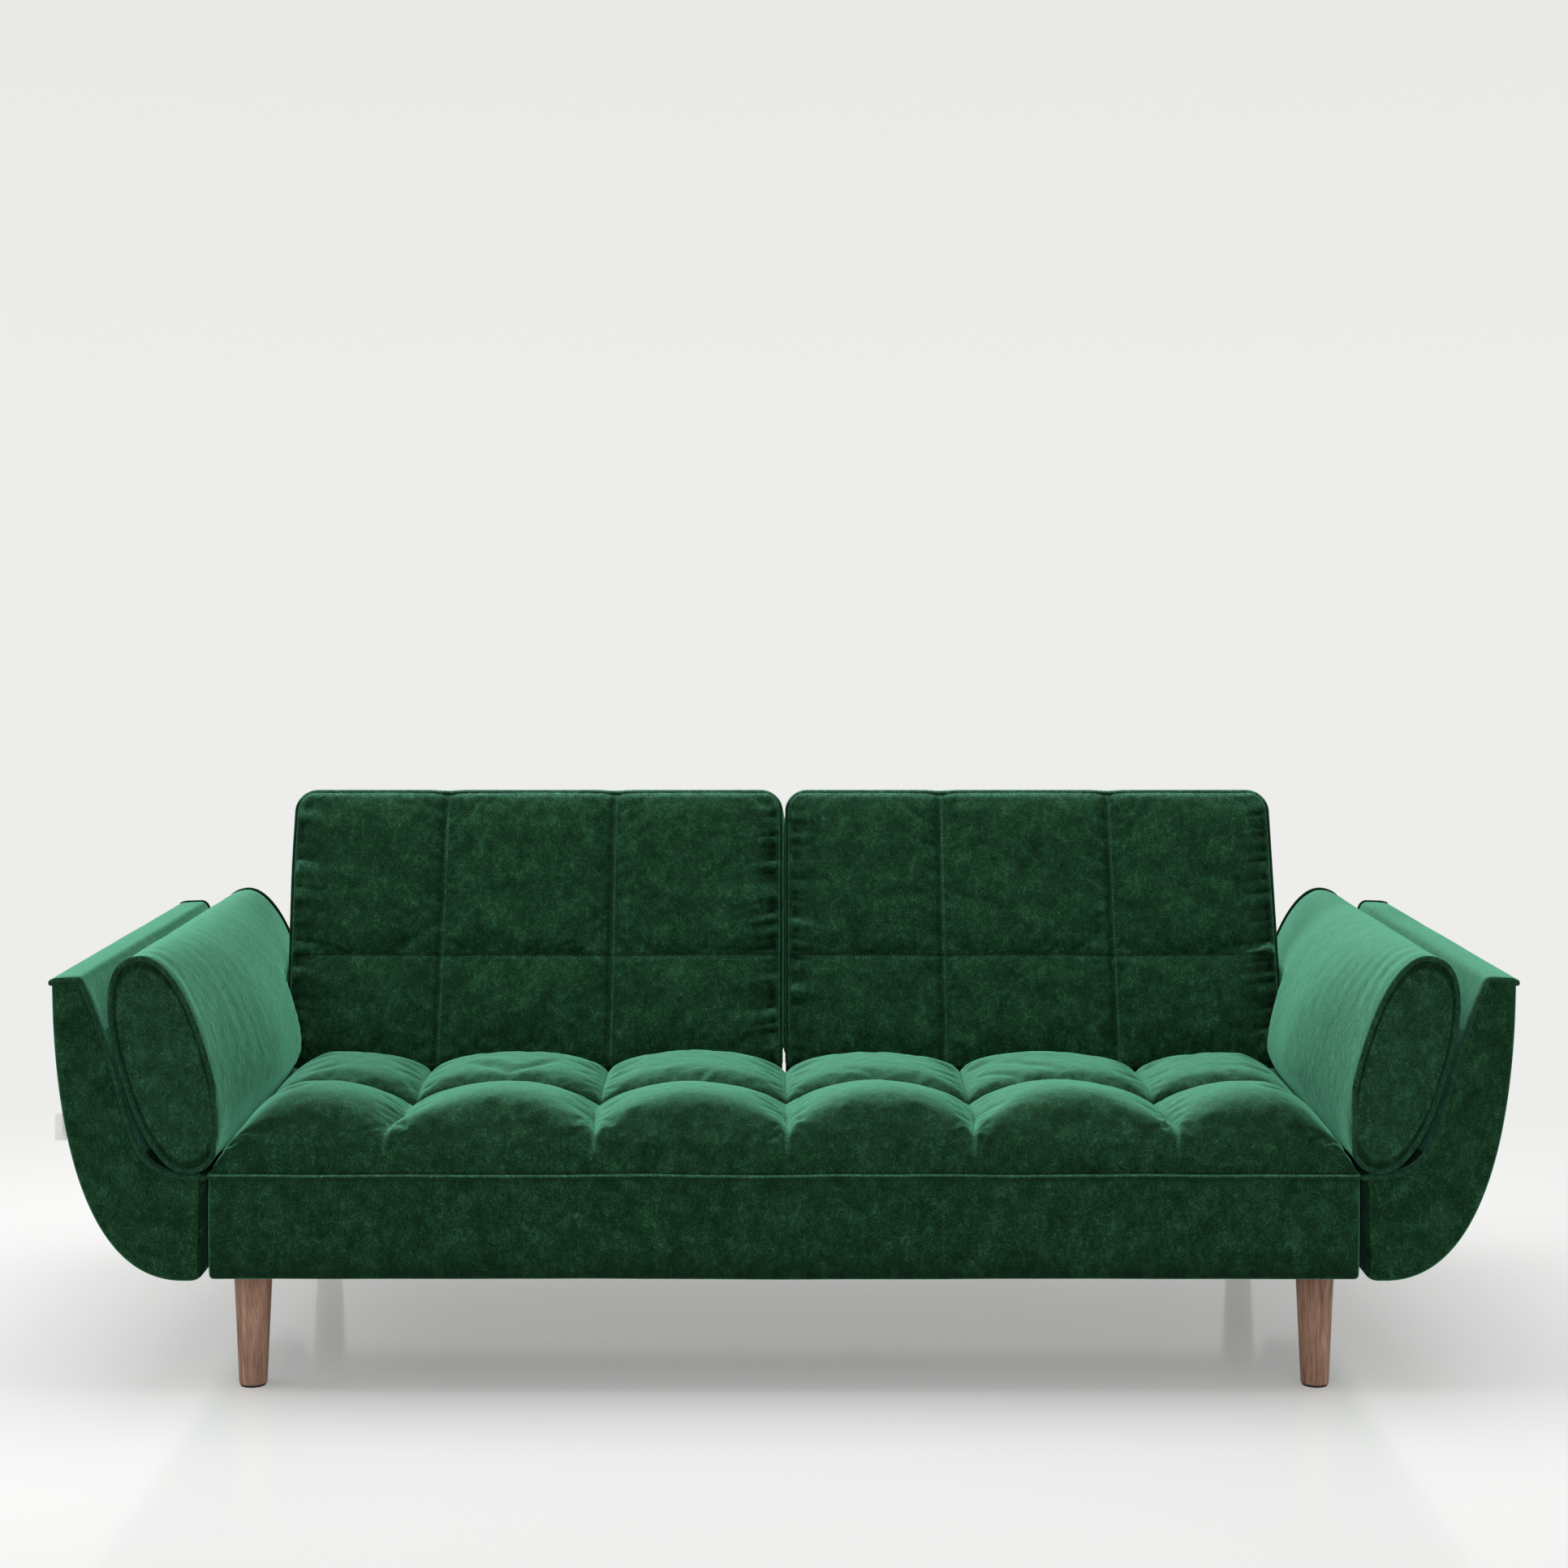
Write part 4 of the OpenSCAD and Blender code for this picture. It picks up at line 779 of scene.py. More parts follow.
def make_borders():
    x, y = BORDER_HI.x, BORDER_LO.y
    side_y, step_y = y + 0.012, SEAT_BACK - 0.003
    path = np.concatenate([[(-x, side_y)], end_path(y, 0.009, -1, 300), [(x, side_y)]])
    points, faces = band(path, BORDER_TOP + seam_wave(*path.T), BORDER_LO.z, 31)
    # Painted shade: the front panel is painted darker towards its foot
    low = smooth((BORDER_LO.z + 0.060 - points[:, 2]) / 0.060)
    add_velvet("front_panel", points, faces, "base", ["front_border"], -0.5 * low)
    sides = []
    for s in (-1, 1):
        path = columns(s * x, np.linspace(side_y, step_y, 70))[::s]
        sides.append(band(path, BORDER_TOP + seam_wave(*path.T), BORDER_LO.z, 35 + s, swell=0.0))
        path = columns(s * x, np.linspace(step_y, REAR_HI.y - 0.006, 50))[::s]
        sides.append(band(path, REAR_HI.z, BORDER_LO.z, 45 + s, swell=0.0))
    points, faces = join(sides)
    # Painted shade: the sides beside the wings take the darkest copy of the velvet
    beside_wing = np.abs(points[:, 1]) < SEAT_BACK
    add_velvet("side_panels", points, faces, "base", ["side_borders"], shaded=2 * beside_wing)
    points, faces = band(end_path(REAR_HI.y, 0.006, 1, 160), REAR_HI.z, REAR_LO.z, 51)
    add_velvet("rear_panel", points, faces, "base", ["rear_border"])


def make_slabs():
    """The seat's rear panel and the cloth over the deck behind it."""
    slabs = ("seat_rear_panel", "seat_back_panel", 61), ("deck_cloth", "deck_cover", 62)
    for name, replaced, seed in slabs:
        points, faces = soft_slab(*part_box(replaced), 0.004, 0.012)
        points[:, 2] += 0.0006 * value_noise(points, 0.09, seed, 2)
        add_velvet(name, points, faces, "base", [replaced])


def spans(s, stops):
    """Share of the way from each support to the next, as a hump from 0 to 1 and back."""
    k = np.clip(np.searchsorted(stops, s) - 1, 0, len(stops) - 2)
    lo, hi = np.take(stops, k), np.take(stops, k + 1)
    return np.sin(math.pi * np.clip((s - lo) / (hi - lo), 0, 1))


# Half the side of the cut-out round a leg
LEG_CUT = 0.0305
# Half a rail's width, and the joists' place as a share of half the cloth's width
RAIL = 0.02
JOIST_SHARE = 0.339


def make_dust_cover():
    """Thin black cloth under the frame, cut out at the legs and slack between the rails and joists."""
    lo, hi = DUST_LO, DUST_HI
    legs = [(a + b) / 2 for a, b in (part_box("front_left_leg"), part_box("rear_right_leg"))]
    cuts = [[leg[k] + d for leg in legs for d in (-LEG_CUT, LEG_CUT)] for k in range(2)]
    xs, ys = [np.unique(np.round(np.concatenate([np.linspace(lo[k], hi[k], n), cuts[k]]), 6))
              for k, n in enumerate((121, 61))]
    x, y = plane(xs, ys)
    joist = JOIST_SHARE * hi.x
    slack = spans(x, [lo.x + RAIL, -joist, joist, hi.x - RAIL])
    slack = slack * spans(y, [lo.y + RAIL, SEAT_BACK - RAIL, hi.y - RAIL])
    drop = 0.0045 * slack + 0.0009 * np.sqrt(slack) * value_noise(columns(x, y, 0.0), 0.11, 131, 2)
    points = np.concatenate([columns(x, y, lo.z - drop), columns(x, y, hi.z - drop)])
    faces, edges = [], {}
    for b, a in np.ndindex(len(ys) - 1, len(xs) - 1):
        mid_x, mid_y = (xs[a] + xs[a + 1]) / 2, (ys[b] + ys[b + 1]) / 2
        if any(abs(abs(mid_x) - abs(leg.x)) < LEG_CUT and abs(mid_y - leg.y) < LEG_CUT for leg in legs):
            continue
        first = b * len(xs) + a
        ring = [first, first + 1, first + len(xs) + 1, first + len(xs)]
        faces += [tuple(ring[::-1]), tuple(i + len(x) for i in ring)]
        edges.update({(ring[i], ring[(i + 1) % 4]): True for i in range(4)})
    faces += [(i, j, j + len(x), i + len(x)) for i, j in edges if (j, i) not in edges]
    points, faces, _ = weld(points, faces)
    made = add_piece("dust_cloth_sheet", points, faces, DUST, "base", ["dust_cover"])


make_topper()
make_seat_piping()
make_borders()
make_slabs()
make_dust_cover()

# ---------- Backs ----------

BACK_W, BACK_H, BACK_R, BACK_FOOT_R = WELT_HI.x - WELT_LO.x, 0.470, 0.040, 0.018
BACK_X = (WELT_LO.x + WELT_HI.x) / 2
BACK_FOOT = 0.025
BACK_MID = BACK_FOOT + BACK_H / 2
FACE_Y, REAR_Y = -0.040, 0.110
BACK_SEAM_Y = FACE_Y + 0.014
QUILT_Y = BACK_SEAM_Y + CORD_R * 0.5
# The quilted panel hangs below the foot of the back as a padded lip in front of the hinges
LIP_DROP = 0.032
QUILT_H = BACK_H + LIP_DROP
QUILT_MID = BACK_MID - LIP_DROP / 2
QUILT_FOOT_R = 0.012
PAD_IN = 0.0055
PAD_HW, PAD_HH = BACK_W / 2 - PAD_IN, QUILT_H / 2 - PAD_IN
PAD_R, PAD_FOOT_R = BACK_R - PAD_IN, QUILT_FOOT_R - PAD_IN
# Two seams run up the panel, and one across it at this height above its middle
QUILT_SEAMS = (-0.163, 0.140)
QUILT_LINE = -PAD_HH + 2 * PAD_HH * 0.391
# The two ends of the panel that gathers run in from, and how strong they are there
GATHERED = ((-1, 0.8), (1, 1.0))
# How far the gathered outer side is drawn in, and how far the left one is at its top
DRAWN_IN, DRAWN_LEFT = 0.011, 0.004
SKIRT_Y, SKIRT_TOP, SKIRT_FOOT = REAR_Y - 0.010, BACK_FOOT + 0.036, -0.014
HINGE_X, HINGE_ROOM = BACK_W / 2 - 0.065, 0.014


def to_back(points, s):
    """From a back's own axes (x along, y to its rear, z up it) to the frame's."""
    c, n = math.cos(RECLINE), math.sin(RECLINE)
    x, y, z = points.T
    return columns(BACK_X * s + x, PIN[1] + y * c + z * n, PIN[2] - y * n + z * c)


def drawn_in(points, s):
    """Draws in the gathered outer side of a back, the left one most at its foot, in the back's own axes."""
    outer = smooth((points[:, 0] * s - 0.12) / (BACK_W / 2 - 0.12))
    low = smooth((0.40 - points[:, 2]) / 0.30)
    least = DRAWN_LEFT if s < 0 else DRAWN_IN
    return points - columns(s * (least + (DRAWN_IN - least) * low) * outer, 0, 0)


def pad_width(z):
    """Half the width of the quilted panel at a height from its middle."""
    r = np.where(z < 0, PAD_FOOT_R, PAD_R)
    d = np.maximum(0, np.abs(z) - PAD_HH + r)
    return PAD_HW - r + np.sqrt(np.maximum(0, r**2 - d * d))


def gathers(x, z, s, end, start, run_in):
    """How deep the gathers are that run in from an end of the panel, and their folds."""
    inwards = pad_width(z) - end * x
    depth = np.exp(-np.clip(inwards - start, 0, 1) / 0.026) * smooth(inwards / run_in)
    folds = noise_line(z + 0.22 * inwards + 3 * end + 7 * s, 0.024, 74 + end, 2)
    return depth, np.abs(folds) * 2.2 - 0.65


def pad_rise(x, z, s):
    """How far the quilted face stands in front of the seam."""
    first, second = QUILT_SEAMS
    centre, half, line = (first + second) / 2, (second - first) / 2, QUILT_LINE
    u = np.where(x > second, (x - second) / half - 1, (x - centre) / half)
    u = np.where(x < first, (x - first) / half + 1, u)
    v = np.where(z < line, 1 - 2 * (z + PAD_HH) / (line + PAD_HH), 1 - 2 * (PAD_HH - z) / (PAD_HH - line))
    side = (x < first - half) | (x > second + half)
    bu = np.where(side, 1.0, puff(u, 0.36))
    bv = np.where(v > 0, puff(v, 0.34), 1.0)
    roll = edge_roll(np.minimum(pad_width(z) - np.abs(x), PAD_HH - np.abs(z)), 0.045, 2, 0.5)
    quilt = 0.0160 * (1 - bu * (1 - 0.6 * (1 - bv)))
    rise = 0.004 + 0.0150 * roll - quilt * roll
    # The seams stand up as fine ridges in their grooves
    for seam in QUILT_SEAMS:
        rise = rise + 0.0032 * bell(x - seam, 0.0024) * roll
    rise = rise + 0.0007 * bell(z - line, 0.0026) * roll
    flat = columns(x, z, s)
    rise = rise + 0.0021 * roll * value_noise(flat, 0.12, 71, 3)
    rise = rise + 0.0006 * roll * value_noise(flat, 0.024, 73, 2)
    # Gathers run in from the side seams, and a few short ones down from the top
    for end, strength in GATHERED:
        depth, folds = gathers(x, z, s, end, 0.008, 0.016)
        mask = smooth((PAD_HH - np.abs(z) - 0.015) / 0.06)
        rise = rise + strength * 0.0150 * depth * mask * folds
    down = PAD_HH - z
    depth = np.exp(-np.clip(down - 0.004, 0, 1) / 0.018) * smooth(down / 0.012)
    rise = rise + 0.0030 * depth * noise_line(x + 9 * s, 0.036, 78, 2)
    for seam in QUILT_SEAMS:
        rise = rise - 0.0030 * bell(x - seam, 0.012) * np.exp(-down / 0.05)
    return rise


def quilt_painted_light(x, z, s):
    """Painted light on the quilted face: highlights and shade painted along its seams and gathers, and a
    highlight painted along its top edge.
    """
    painted_light, line = 0 * x, QUILT_LINE
    for seam in QUILT_SEAMS:
        patchy = 0.65 + 0.5 * noise_line(z + 3 * seam + s, 0.05, 125, 2)
        painted_light = painted_light + 0.40 * patchy * bell(x - seam - 0.0010, 0.0026) - 0.50 * bell(x - seam + 0.0070, 0.0055)
    patchy = 0.6 + 0.6 * noise_line(x + s, 0.07, 127, 2)
    painted_light = painted_light - 0.60 * bell(z - line - 0.0012, 0.0028) + 0.22 * patchy * bell(z - line + 0.0050, 0.0036)
    for end, strength in GATHERED:
        depth, folds = gathers(x, z, s, end, 0.014, 0.012)
        painted_light = painted_light + strength * depth * np.where(folds > 0, 0.75, 1.7) * folds
    down = PAD_HH - z
    return painted_light * smooth(down / 0.02) + 0.75 * bell(down - 0.003, 0.0065)


def make_quilt(s, side):
    """The quilted front panel of a back."""
    corner = 1 - np.sin(np.radians(np.linspace(90, 0, 10)))
    inner = spaced(-PAD_HH + PAD_FOOT_R, PAD_HH - PAD_R, 116, 0.01, 0, [QUILT_LINE], 0.006, 3.5)
    zs = np.concatenate([-PAD_HH + PAD_FOOT_R * corner, inner[1:-1], PAD_HH - PAD_R * corner[::-1]])
    share = spaced(-1, 1, 230, 0.03, 5, [seam / PAD_HW for seam in QUILT_SEAMS], 0.010, 5)
    x = (share[None, :] * pad_width(zs)[:, None]).ravel()
    z = np.repeat(zs, len(share))
    front = columns(x, QUILT_Y - pad_rise(x, z, s), z + QUILT_MID)
    # The top edge dips a little at each quilting seam
    for seam in QUILT_SEAMS:
        front[:, 2] -= 0.0022 * bell(x - seam, 0.022) * smooth((z - PAD_HH + 0.05) / 0.05)
    under_y = QUILT_Y + 0.001
    under = front[rim_of(len(zs), len(share))] * (1, 0, 1) + (0, under_y, 0)
    points, faces = closed_below(front, len(zs), len(share), under, [0, under_y, QUILT_MID])
    painted_light = np.concatenate([quilt_painted_light(x, z, s), np.zeros(len(points) - len(x))])
    made = add_velvet(f"{side}_back_quilt", to_back(drawn_in(points, s), s), faces, f"{side}_back",
                      [f"{side}_back_pad"], painted_light)
    to_side = pad_width(z) - np.abs(x)
    to_edge = np.minimum(to_side, PAD_HH - np.abs(z))
    seams = sum(bell(x - seam, 0.005) for seam in QUILT_SEAMS) + bell(z - QUILT_LINE, 0.004)
    held, loose = np.ones(len(points)), np.zeros(len(points))
    held[:len(x)] = np.clip(np.maximum(smooth((0.007 - to_edge) / 0.005), seams), 0, 1)
    loose[:len(x)] = np.exp(-to_side / 0.03)
    soften(made, held, 2.5, 0.10, 0.012, loose)


def make_back_piping(s, side):
    wide, tall = BACK_W / 2 - CORD_R, QUILT_H / 2 - CORD_R
    loop = rounded_loop(-wide, wide, -tall, tall, BACK_R - CORD_R, 0.007, 12, QUILT_FOOT_R - CORD_R)
    along, up = loop.T
    sway = 0.0007 * noise_line(along + 1.7 * up + s, 0.06, 81, 2)
    dip = sum(0.0018 * bell(along - c, 0.02) * (up > 0) for c in QUILT_SEAMS)
    path = columns(along, BACK_SEAM_Y + sway, up + QUILT_MID - dip)
    points, faces = tube(path, CORD_R, closed=True, up=(0, 1, 0))
    rise = (points[:, 2] - np.repeat(path[:, 2], CORD_SIDES)) / CORD_R
    # Painted light: the cord along the top gets a painted highlight on its upper side, and the rest of it
    # painted shade
    at_top = np.repeat(smooth((path[:, 2] - QUILT_MID - PAD_HH + 0.03) / 0.02), CORD_SIDES)
    painted_light = 0.95 * at_top * np.clip(rise + 0.5, 0, 1) - 0.35 * (1 - at_top)
    points = to_back(drawn_in(points, s), s)
    add_cord(f"{side}_back_welt", points, faces, f"{side}_back", f"{side}_back_piping", painted_light)


def make_boxing(s, side):
    """The boxing round a back's sides and the cloth over its rear."""
    turn, inset = 0.010, 0.003
    stations = [(0.008, BACK_SEAM_Y + 0.001), (0.0, BACK_SEAM_Y + 0.002)]
    stations += [(0.0, t) for t in np.linspace(BACK_SEAM_Y + 0.006, REAR_Y - turn, 16)]
    for a in np.linspace(0.2, math.pi / 2, 8):
        stations.append((turn * (1 - math.cos(a)), REAR_Y - turn + turn * math.sin(a)))
    wide, tall = BACK_W / 2 - inset, BACK_H / 2 - inset
    first = rounded_loop(-wide, wide, -tall, tall, BACK_R - inset, 0.012, 10, BACK_FOOT_R - inset)

    def ring(d, y, share=1.0):
        return columns(first[:, 0] * (wide - d) / wide * share, y, first[:, 1] * (tall - d) / tall * share)

    rings = [ring(d, y) for d, y in stations] + [ring(turn, REAR_Y, 1 - k / 12) for k in range(1, 12)]
    points = np.concatenate(rings + [[[0, REAR_Y, 0]]])
    wander = value_noise(points + (s, 0, 0), 0.1, 83, 3)
    outward = unit_rows(points * (1, 0, 1) / (BACK_W, 1, BACK_H))
    on_side = smooth((REAR_Y - 0.004 - points[:, 1]) / 0.01)
    # The stuffing swells the sides, so that the two backs all but meet
    depth = np.clip((points[:, 1] - BACK_SEAM_Y) / (REAR_Y - BACK_SEAM_Y), 0, 1)
    swell = np.sin(math.pi * depth) ** 0.5 * (np.abs(points[:, 0]) > BACK_W / 2 - 0.02)
    inner_end = points[:, 0] * s < 0
    points = points + outward * (0.0008 * wander * on_side * np.where(inner_end, 0.2, 1))[:, None]
    # One presses into the other in front and gives way to it behind, so no light comes between them
    meeting = 0.0045 - s * 0.0016 * np.sin(2 * math.pi * depth)
    points[:, 0] += np.sign(points[:, 0]) * swell * np.where(inner_end, meeting, 0.0015)
    points[:, 1] += -0.0012 * np.abs(wander) * (1 - on_side)
    points[:, 2] += BACK_MID
    faces = grid_faces(len(rings), len(first), wrap=True)
    faces += fan(range(len(points) - 1 - len(first), len(points) - 1), len(points) - 1)
    add_velvet(f"{side}_back_boxing", to_back(drawn_in(points, s), s), faces, f"{side}_back",
               [f"{side}_back_cover"])


def make_skirt(s, side):
    """The cover's loose hem, which hangs behind the foot of the back and is cut away round the hinges."""
    end, meet = BACK_W / 2 - 0.014, BACK_W / 2 - 0.001
    near, past = HINGE_X - HINGE_ROOM, HINGE_X + HINGE_ROOM
    pieces = [(-meet, -past), (-near, near), (past, end)]
    drop = SKIRT_TOP - SKIRT_FOOT
    parts, area = [], 0.0
    for x0, x1 in pieces if s > 0 else [(-b, -a) for a, b in pieces]:
        xs, hang = np.linspace(x0, x1, max(6, int((x1 - x0) / 0.008))), np.linspace(0, 1, 9)
        x, t = plane(xs, hang)
        wave = 0.0022 * t * noise_line(x + 5 * s, 0.09, 121, 2)
        z = SKIRT_TOP - drop * t + 0.0012 * t * noise_line(x + 8 * s, 0.14, 123)
        hem = 0.0006 * (1 + smooth((t - 0.72) / 0.1))
        sheets = [columns(x, SKIRT_Y + 0.0025 * s + wave + way * hem, z) for way in (-1, 1)]
        parts += [(sheet, grid_faces(len(hang), len(xs), flip=k > 0)) for k, sheet in enumerate(sheets)]
        rim = rim_of(len(hang), len(xs))
        edges = grid_faces(2, len(rim), wrap=True, flip=True)
        parts.append((np.concatenate([sheet[rim] for sheet in sheets]), edges))
        area += (x1 - x0) * drop
    points, faces, _ = weld(*join(parts))
    made = add_velvet(f"{side}_back_skirt", to_back(points, s), faces, f"{side}_back", ())


def stitched(places):
    """Thread stitches along a line of close places, standing a little way out in front of it."""
    length, gap, r = 0.0042, 0.0026, 0.00045
    steps, out = run_along(places), np.array((0, -1.0, 0))
    starts = np.arange(0.004, steps[-1] - length - 0.004, length + gap)
    arch, sides = np.array([-0.2, 0.8, 1.0, 0.8, -0.2]), 6
    at = starts[:, None] + np.linspace(0, 1, len(arch))[None] * length
    line = np.stack([np.interp(at, steps, places[:, k]) for k in range(3)], 2) + arch[None, :, None] * r * out
    along = line[:, -1:] - line[:, :1]
    along = along / np.linalg.norm(along, axis=2, keepdims=True)
    across = np.cross(along, np.broadcast_to(out, along.shape))
    angles = np.arange(sides) * 2 * math.pi / sides
    ring = np.cos(angles)[:, None] * across[:, :, None] + np.sin(angles)[:, None] * out
    points = (line[:, :, None] + r * ring).reshape(-1, 3)
    size = len(arch) * sides
    one = grid_faces(len(arch), sides, wrap=True)
    one += [tuple(range(sides))[::-1], tuple(range(size - sides, size))]
    return points, [tuple(k * size + i for i in face) for k in range(len(starts)) for face in one]


def make_stitches(s, side):
    """Thread along the quilting seams of a back."""
    up = np.linspace(-PAD_HH + 0.012, PAD_HH - 0.012, 500)
    along = np.linspace(-PAD_HW + 0.03, PAD_HW - 0.03, 900)
    lines = [(0 * up + seam + 0.0034, up) for seam in QUILT_SEAMS]
    lines.append((along, 0 * along + QUILT_LINE - 0.0032))
    points, faces = join([stitched(columns(x, QUILT_Y - pad_rise(x, z, s), z + QUILT_MID)) for x, z in lines])
    points = to_back(drawn_in(points, s), s)
    add_piece(f"{side}_back_stitches", points, faces, THREAD, f"{side}_back")


for s, side in SIDES:
    make_quilt(s, side)
    make_back_piping(s, side)
    make_boxing(s, side)
    make_skirt(s, side)
    make_stitches(s, side)

# ---------- Wings ----------

# The wing's section lies in x and z from its inner lower corner
WING_W, WING_H = 0.239, 0.475
WING_DEPTH = WING_HI.y - WING_LO.y
LEDGE_H, LIP_W, LIP_R, TOE_R = 0.166, 0.052, 0.014, 0.022
# Where round the lip, in degrees, the trough line meets it
LIP_START = 160
LIP_CENTRE = np.array([WING_W - LIP_W + LIP_R, WING_H - LIP_R])
# Below about this height the trough is painted in shade
TROUGH_SHADE = 0.615
INNER_N = 20
# A wing's rounded ends: how far in from the end, and the inset of its upper, outer and inner lines
WING_ENDS = (
    (0.0022, 0.0075, 0.0085, 0.0060), (0.0026, 0.0062, 0.0055, 0.0040), (0.0042, 0.0048, 0.0028, 0.0022),
    (0.0066, 0.0020, 0.0010, 0.0009), (0.0100, 0.0006, 0.0002, 0.0002), (0.0140, 0.0, 0.0, 0.0),
)


def bezier(*points):
    """60 places along a curve with four control points."""
    a, b, c, d = [np.asarray(p, float) for p in points]
    t = np.linspace(0, 1, 60)[:, None]
    return a * (1 - t) ** 3 + 3 * b * t * (1 - t) ** 2 + 3 * c * t**2 * (1 - t) + d * t**3


def resample(line, n):
    """n + 1 even places along a line."""
    steps = run_along(line)
    at = np.linspace(0, steps[-1], n + 1)
    return columns(*[np.interp(at, steps, line[:, k]) for k in range(2)])


def inset_line(line, d):
    """A line moved to its right by d."""
    t = unit_rows(np.gradient(line, axis=0))
    return line + columns(t[:, 1], -t[:, 0]) * d


def on_circle(centre, r, degrees):
    a = math.radians(degrees)
    return centre + r * np.array([math.cos(a), math.sin(a)])


def wing_lines():
    """The trough line from the ledge over the lip to the outer corner, and the outer line up to it."""
    a = math.radians(LIP_START)
    top = on_circle(LIP_CENTRE, LIP_R, LIP_START)
    pull = WING_H * 0.49 * np.array([math.sin(a), -math.cos(a)])
    trough = bezier((0, LEDGE_H), (WING_W * 0.60, LEDGE_H), top - pull - (0.018, 0), top)
    lip = [on_circle(LIP_CENTRE, LIP_R, t) for t in range(LIP_START - 8, 88, -8)]
    corner = np.array([WING_W, WING_H - 0.0035])
    upper = resample(np.concatenate([trough, lip, [[WING_W - 0.010, WING_H - 0.001], corner]]), 110)
    outer = bezier(corner, (WING_W - 0.001, WING_H * 0.52), (WING_W * 0.80, 0), (WING_W * 0.145, 0))
    toe = [on_circle(np.array([TOE_R, TOE_R]), TOE_R, t) for t in range(-98, -181, -8)]
    return upper, resample(np.concatenate([outer, [(TOE_R, 0)], toe]), 110)[::-1]


UPPER, LOWER = wing_lines()


def wing_skin(upper_in, lower_in, inner_in):
    """Grid of the wing's section: rows from its trough line down to its outer line."""
    upper = inset_line(UPPER, upper_in)
    lower = inset_line(LOWER[::-1], lower_in)[::-1]
    upper, lower = [columns(np.maximum(line[:, 0], inner_in), line[:, 1]) for line in (upper, lower)]
    tip = (upper[-1] + lower[-1]) / 2
    near = smooth((np.arange(len(upper)) - 104) / 6)[:, None]
    upper, lower = upper * (1 - near) + tip * near, lower * (1 - near) + tip * near
    t = np.linspace(0, 1, INNER_N + 1)[:, None, None]
    return upper[None] * (1 - t) + lower[None] * t


def cord_painted_light(y, ends):
    """The piping at an end gets a painted highlight where it faces out and painted shade beside the cover."""
    out = (2 * CORD_R - np.minimum(y - ends[0], ends[1] - y)) / (2 * CORD_R)
    return 0.12 * smooth((out - 0.62) / 0.3) - 0.5 * smooth((0.55 - out) / 0.3)


def wing_grids():
    """The section's grid and its place along the wing, from the front face to the rear one."""
    stations = [(WING_LO.y + y, *insets) for y, *insets in WING_ENDS]
    stations += [(y, 0.0, 0.0, 0.0) for y in np.linspace(WING_LO.y + 0.022, WING_HI.y - 0.022, 70)]
    stations += [(WING_HI.y - y, *insets) for y, *insets in WING_ENDS[::-1]]
    return [(wing_skin(*insets).reshape(-1, 2), y) for y, *insets in stations]


def make_wing_cover(s, side):
    rows, cols = INNER_N + 1, len(UPPER)
    rim, grids = rim_of(rows, cols), wing_grids()
    rings = [columns(flat[rim, 0], y, flat[rim, 1]) for flat, y in grids]
    parts = [(np.concatenate(rings), grid_faces(len(rings), len(rim), wrap=True))]
    j, i = np.meshgrid(np.linspace(0, 1, rows), np.linspace(0, 1, cols), indexing="ij")
    dome = 0.0022 * np.power(np.clip(16 * j * (1 - j) * i * (1 - i), 0, 1), 0.3).ravel()
    for (flat, y), way in ((grids[0], -1), (grids[-1], 1)):
        parts.append((columns(flat[:, 0], y + way * dome, flat[:, 1]), grid_faces(rows, cols, flip=way < 0)))
    points, faces, _ = weld(*join(parts))
    x0, z0 = WING_LO.x, WING_LO.z
    moved, up = points + (x0, 0, z0), LEDGE_H + z0
    middle = smooth((WING_DEPTH / 2 - np.abs(moved[:, 1])) / 0.03)
    wave = 0.0013 * value_noise(moved + (3 * s, 0, 0), 0.15, 91, 3)
    moved[:, 0] += wave * middle * (moved[:, 0] > x0 + 0.02)
    moved[:, 2] += 0.5 * wave * middle * (moved[:, 2] > up - 0.01)
    moved, faces = mirrored(moved, faces, s)
    # The side against the seat and the foot of the trough are painted in shade, with darker velvet and a
    # painted darkening
    x, y, z = (points + (0, 0, z0)).T
    outer_x = np.interp(z - z0, LOWER[:, 1], LOWER[:, 0])
    in_trough = (z > up - 0.004) & (x < np.minimum(outer_x - 0.012, WING_W - 0.030))
    in_trough &= np.abs(y) < WING_DEPTH / 2 - 0.012
    painted_light = np.where(in_trough, -0.75 * smooth((TROUGH_SHADE + 0.04 - z) / 0.15), 0.0)
    level = in_trough * (1 * (z < TROUGH_SHADE - 0.045) + 1 * (z < up + 0.035))
    beside_seat = x < 0.012
    add_velvet(f"{side}_wing_cover", moved, faces, "base", [f"{side}_wing_pad"], painted_light,
               shaded=np.maximum(2 * beside_seat, level))


def make_wing_piping(s, side):
    """Piping along each end of the trough, with its tip turned down past the outer corner."""
    cords = []
    for y in (WING_LO.y + CORD_R, WING_HI.y - CORD_R):
        line = inset_line(UPPER, CORD_R if y < 0 else 0.0018)
        x, z = np.concatenate([line, line[-1] + [(0.0020, -0.0006), (0.0035, -0.0025)]]).T
        path = columns(s * np.minimum(x + WING_LO.x, WING_HI.x), y, z + WING_LO.z)
        cords.append(tube(path, CORD_R, up=(0, 1, 0)))
    points, faces = join(cords)
    painted_light = cord_painted_light(points[:, 1], (WING_LO.y, WING_HI.y))
    add_cord(f"{side}_wing_welt", points, faces, "base", f"{side}_wing_piping", painted_light)


for s, side in SIDES:
    make_wing_cover(s, side)
    make_wing_piping(s, side)

# ---------- Bolsters ----------

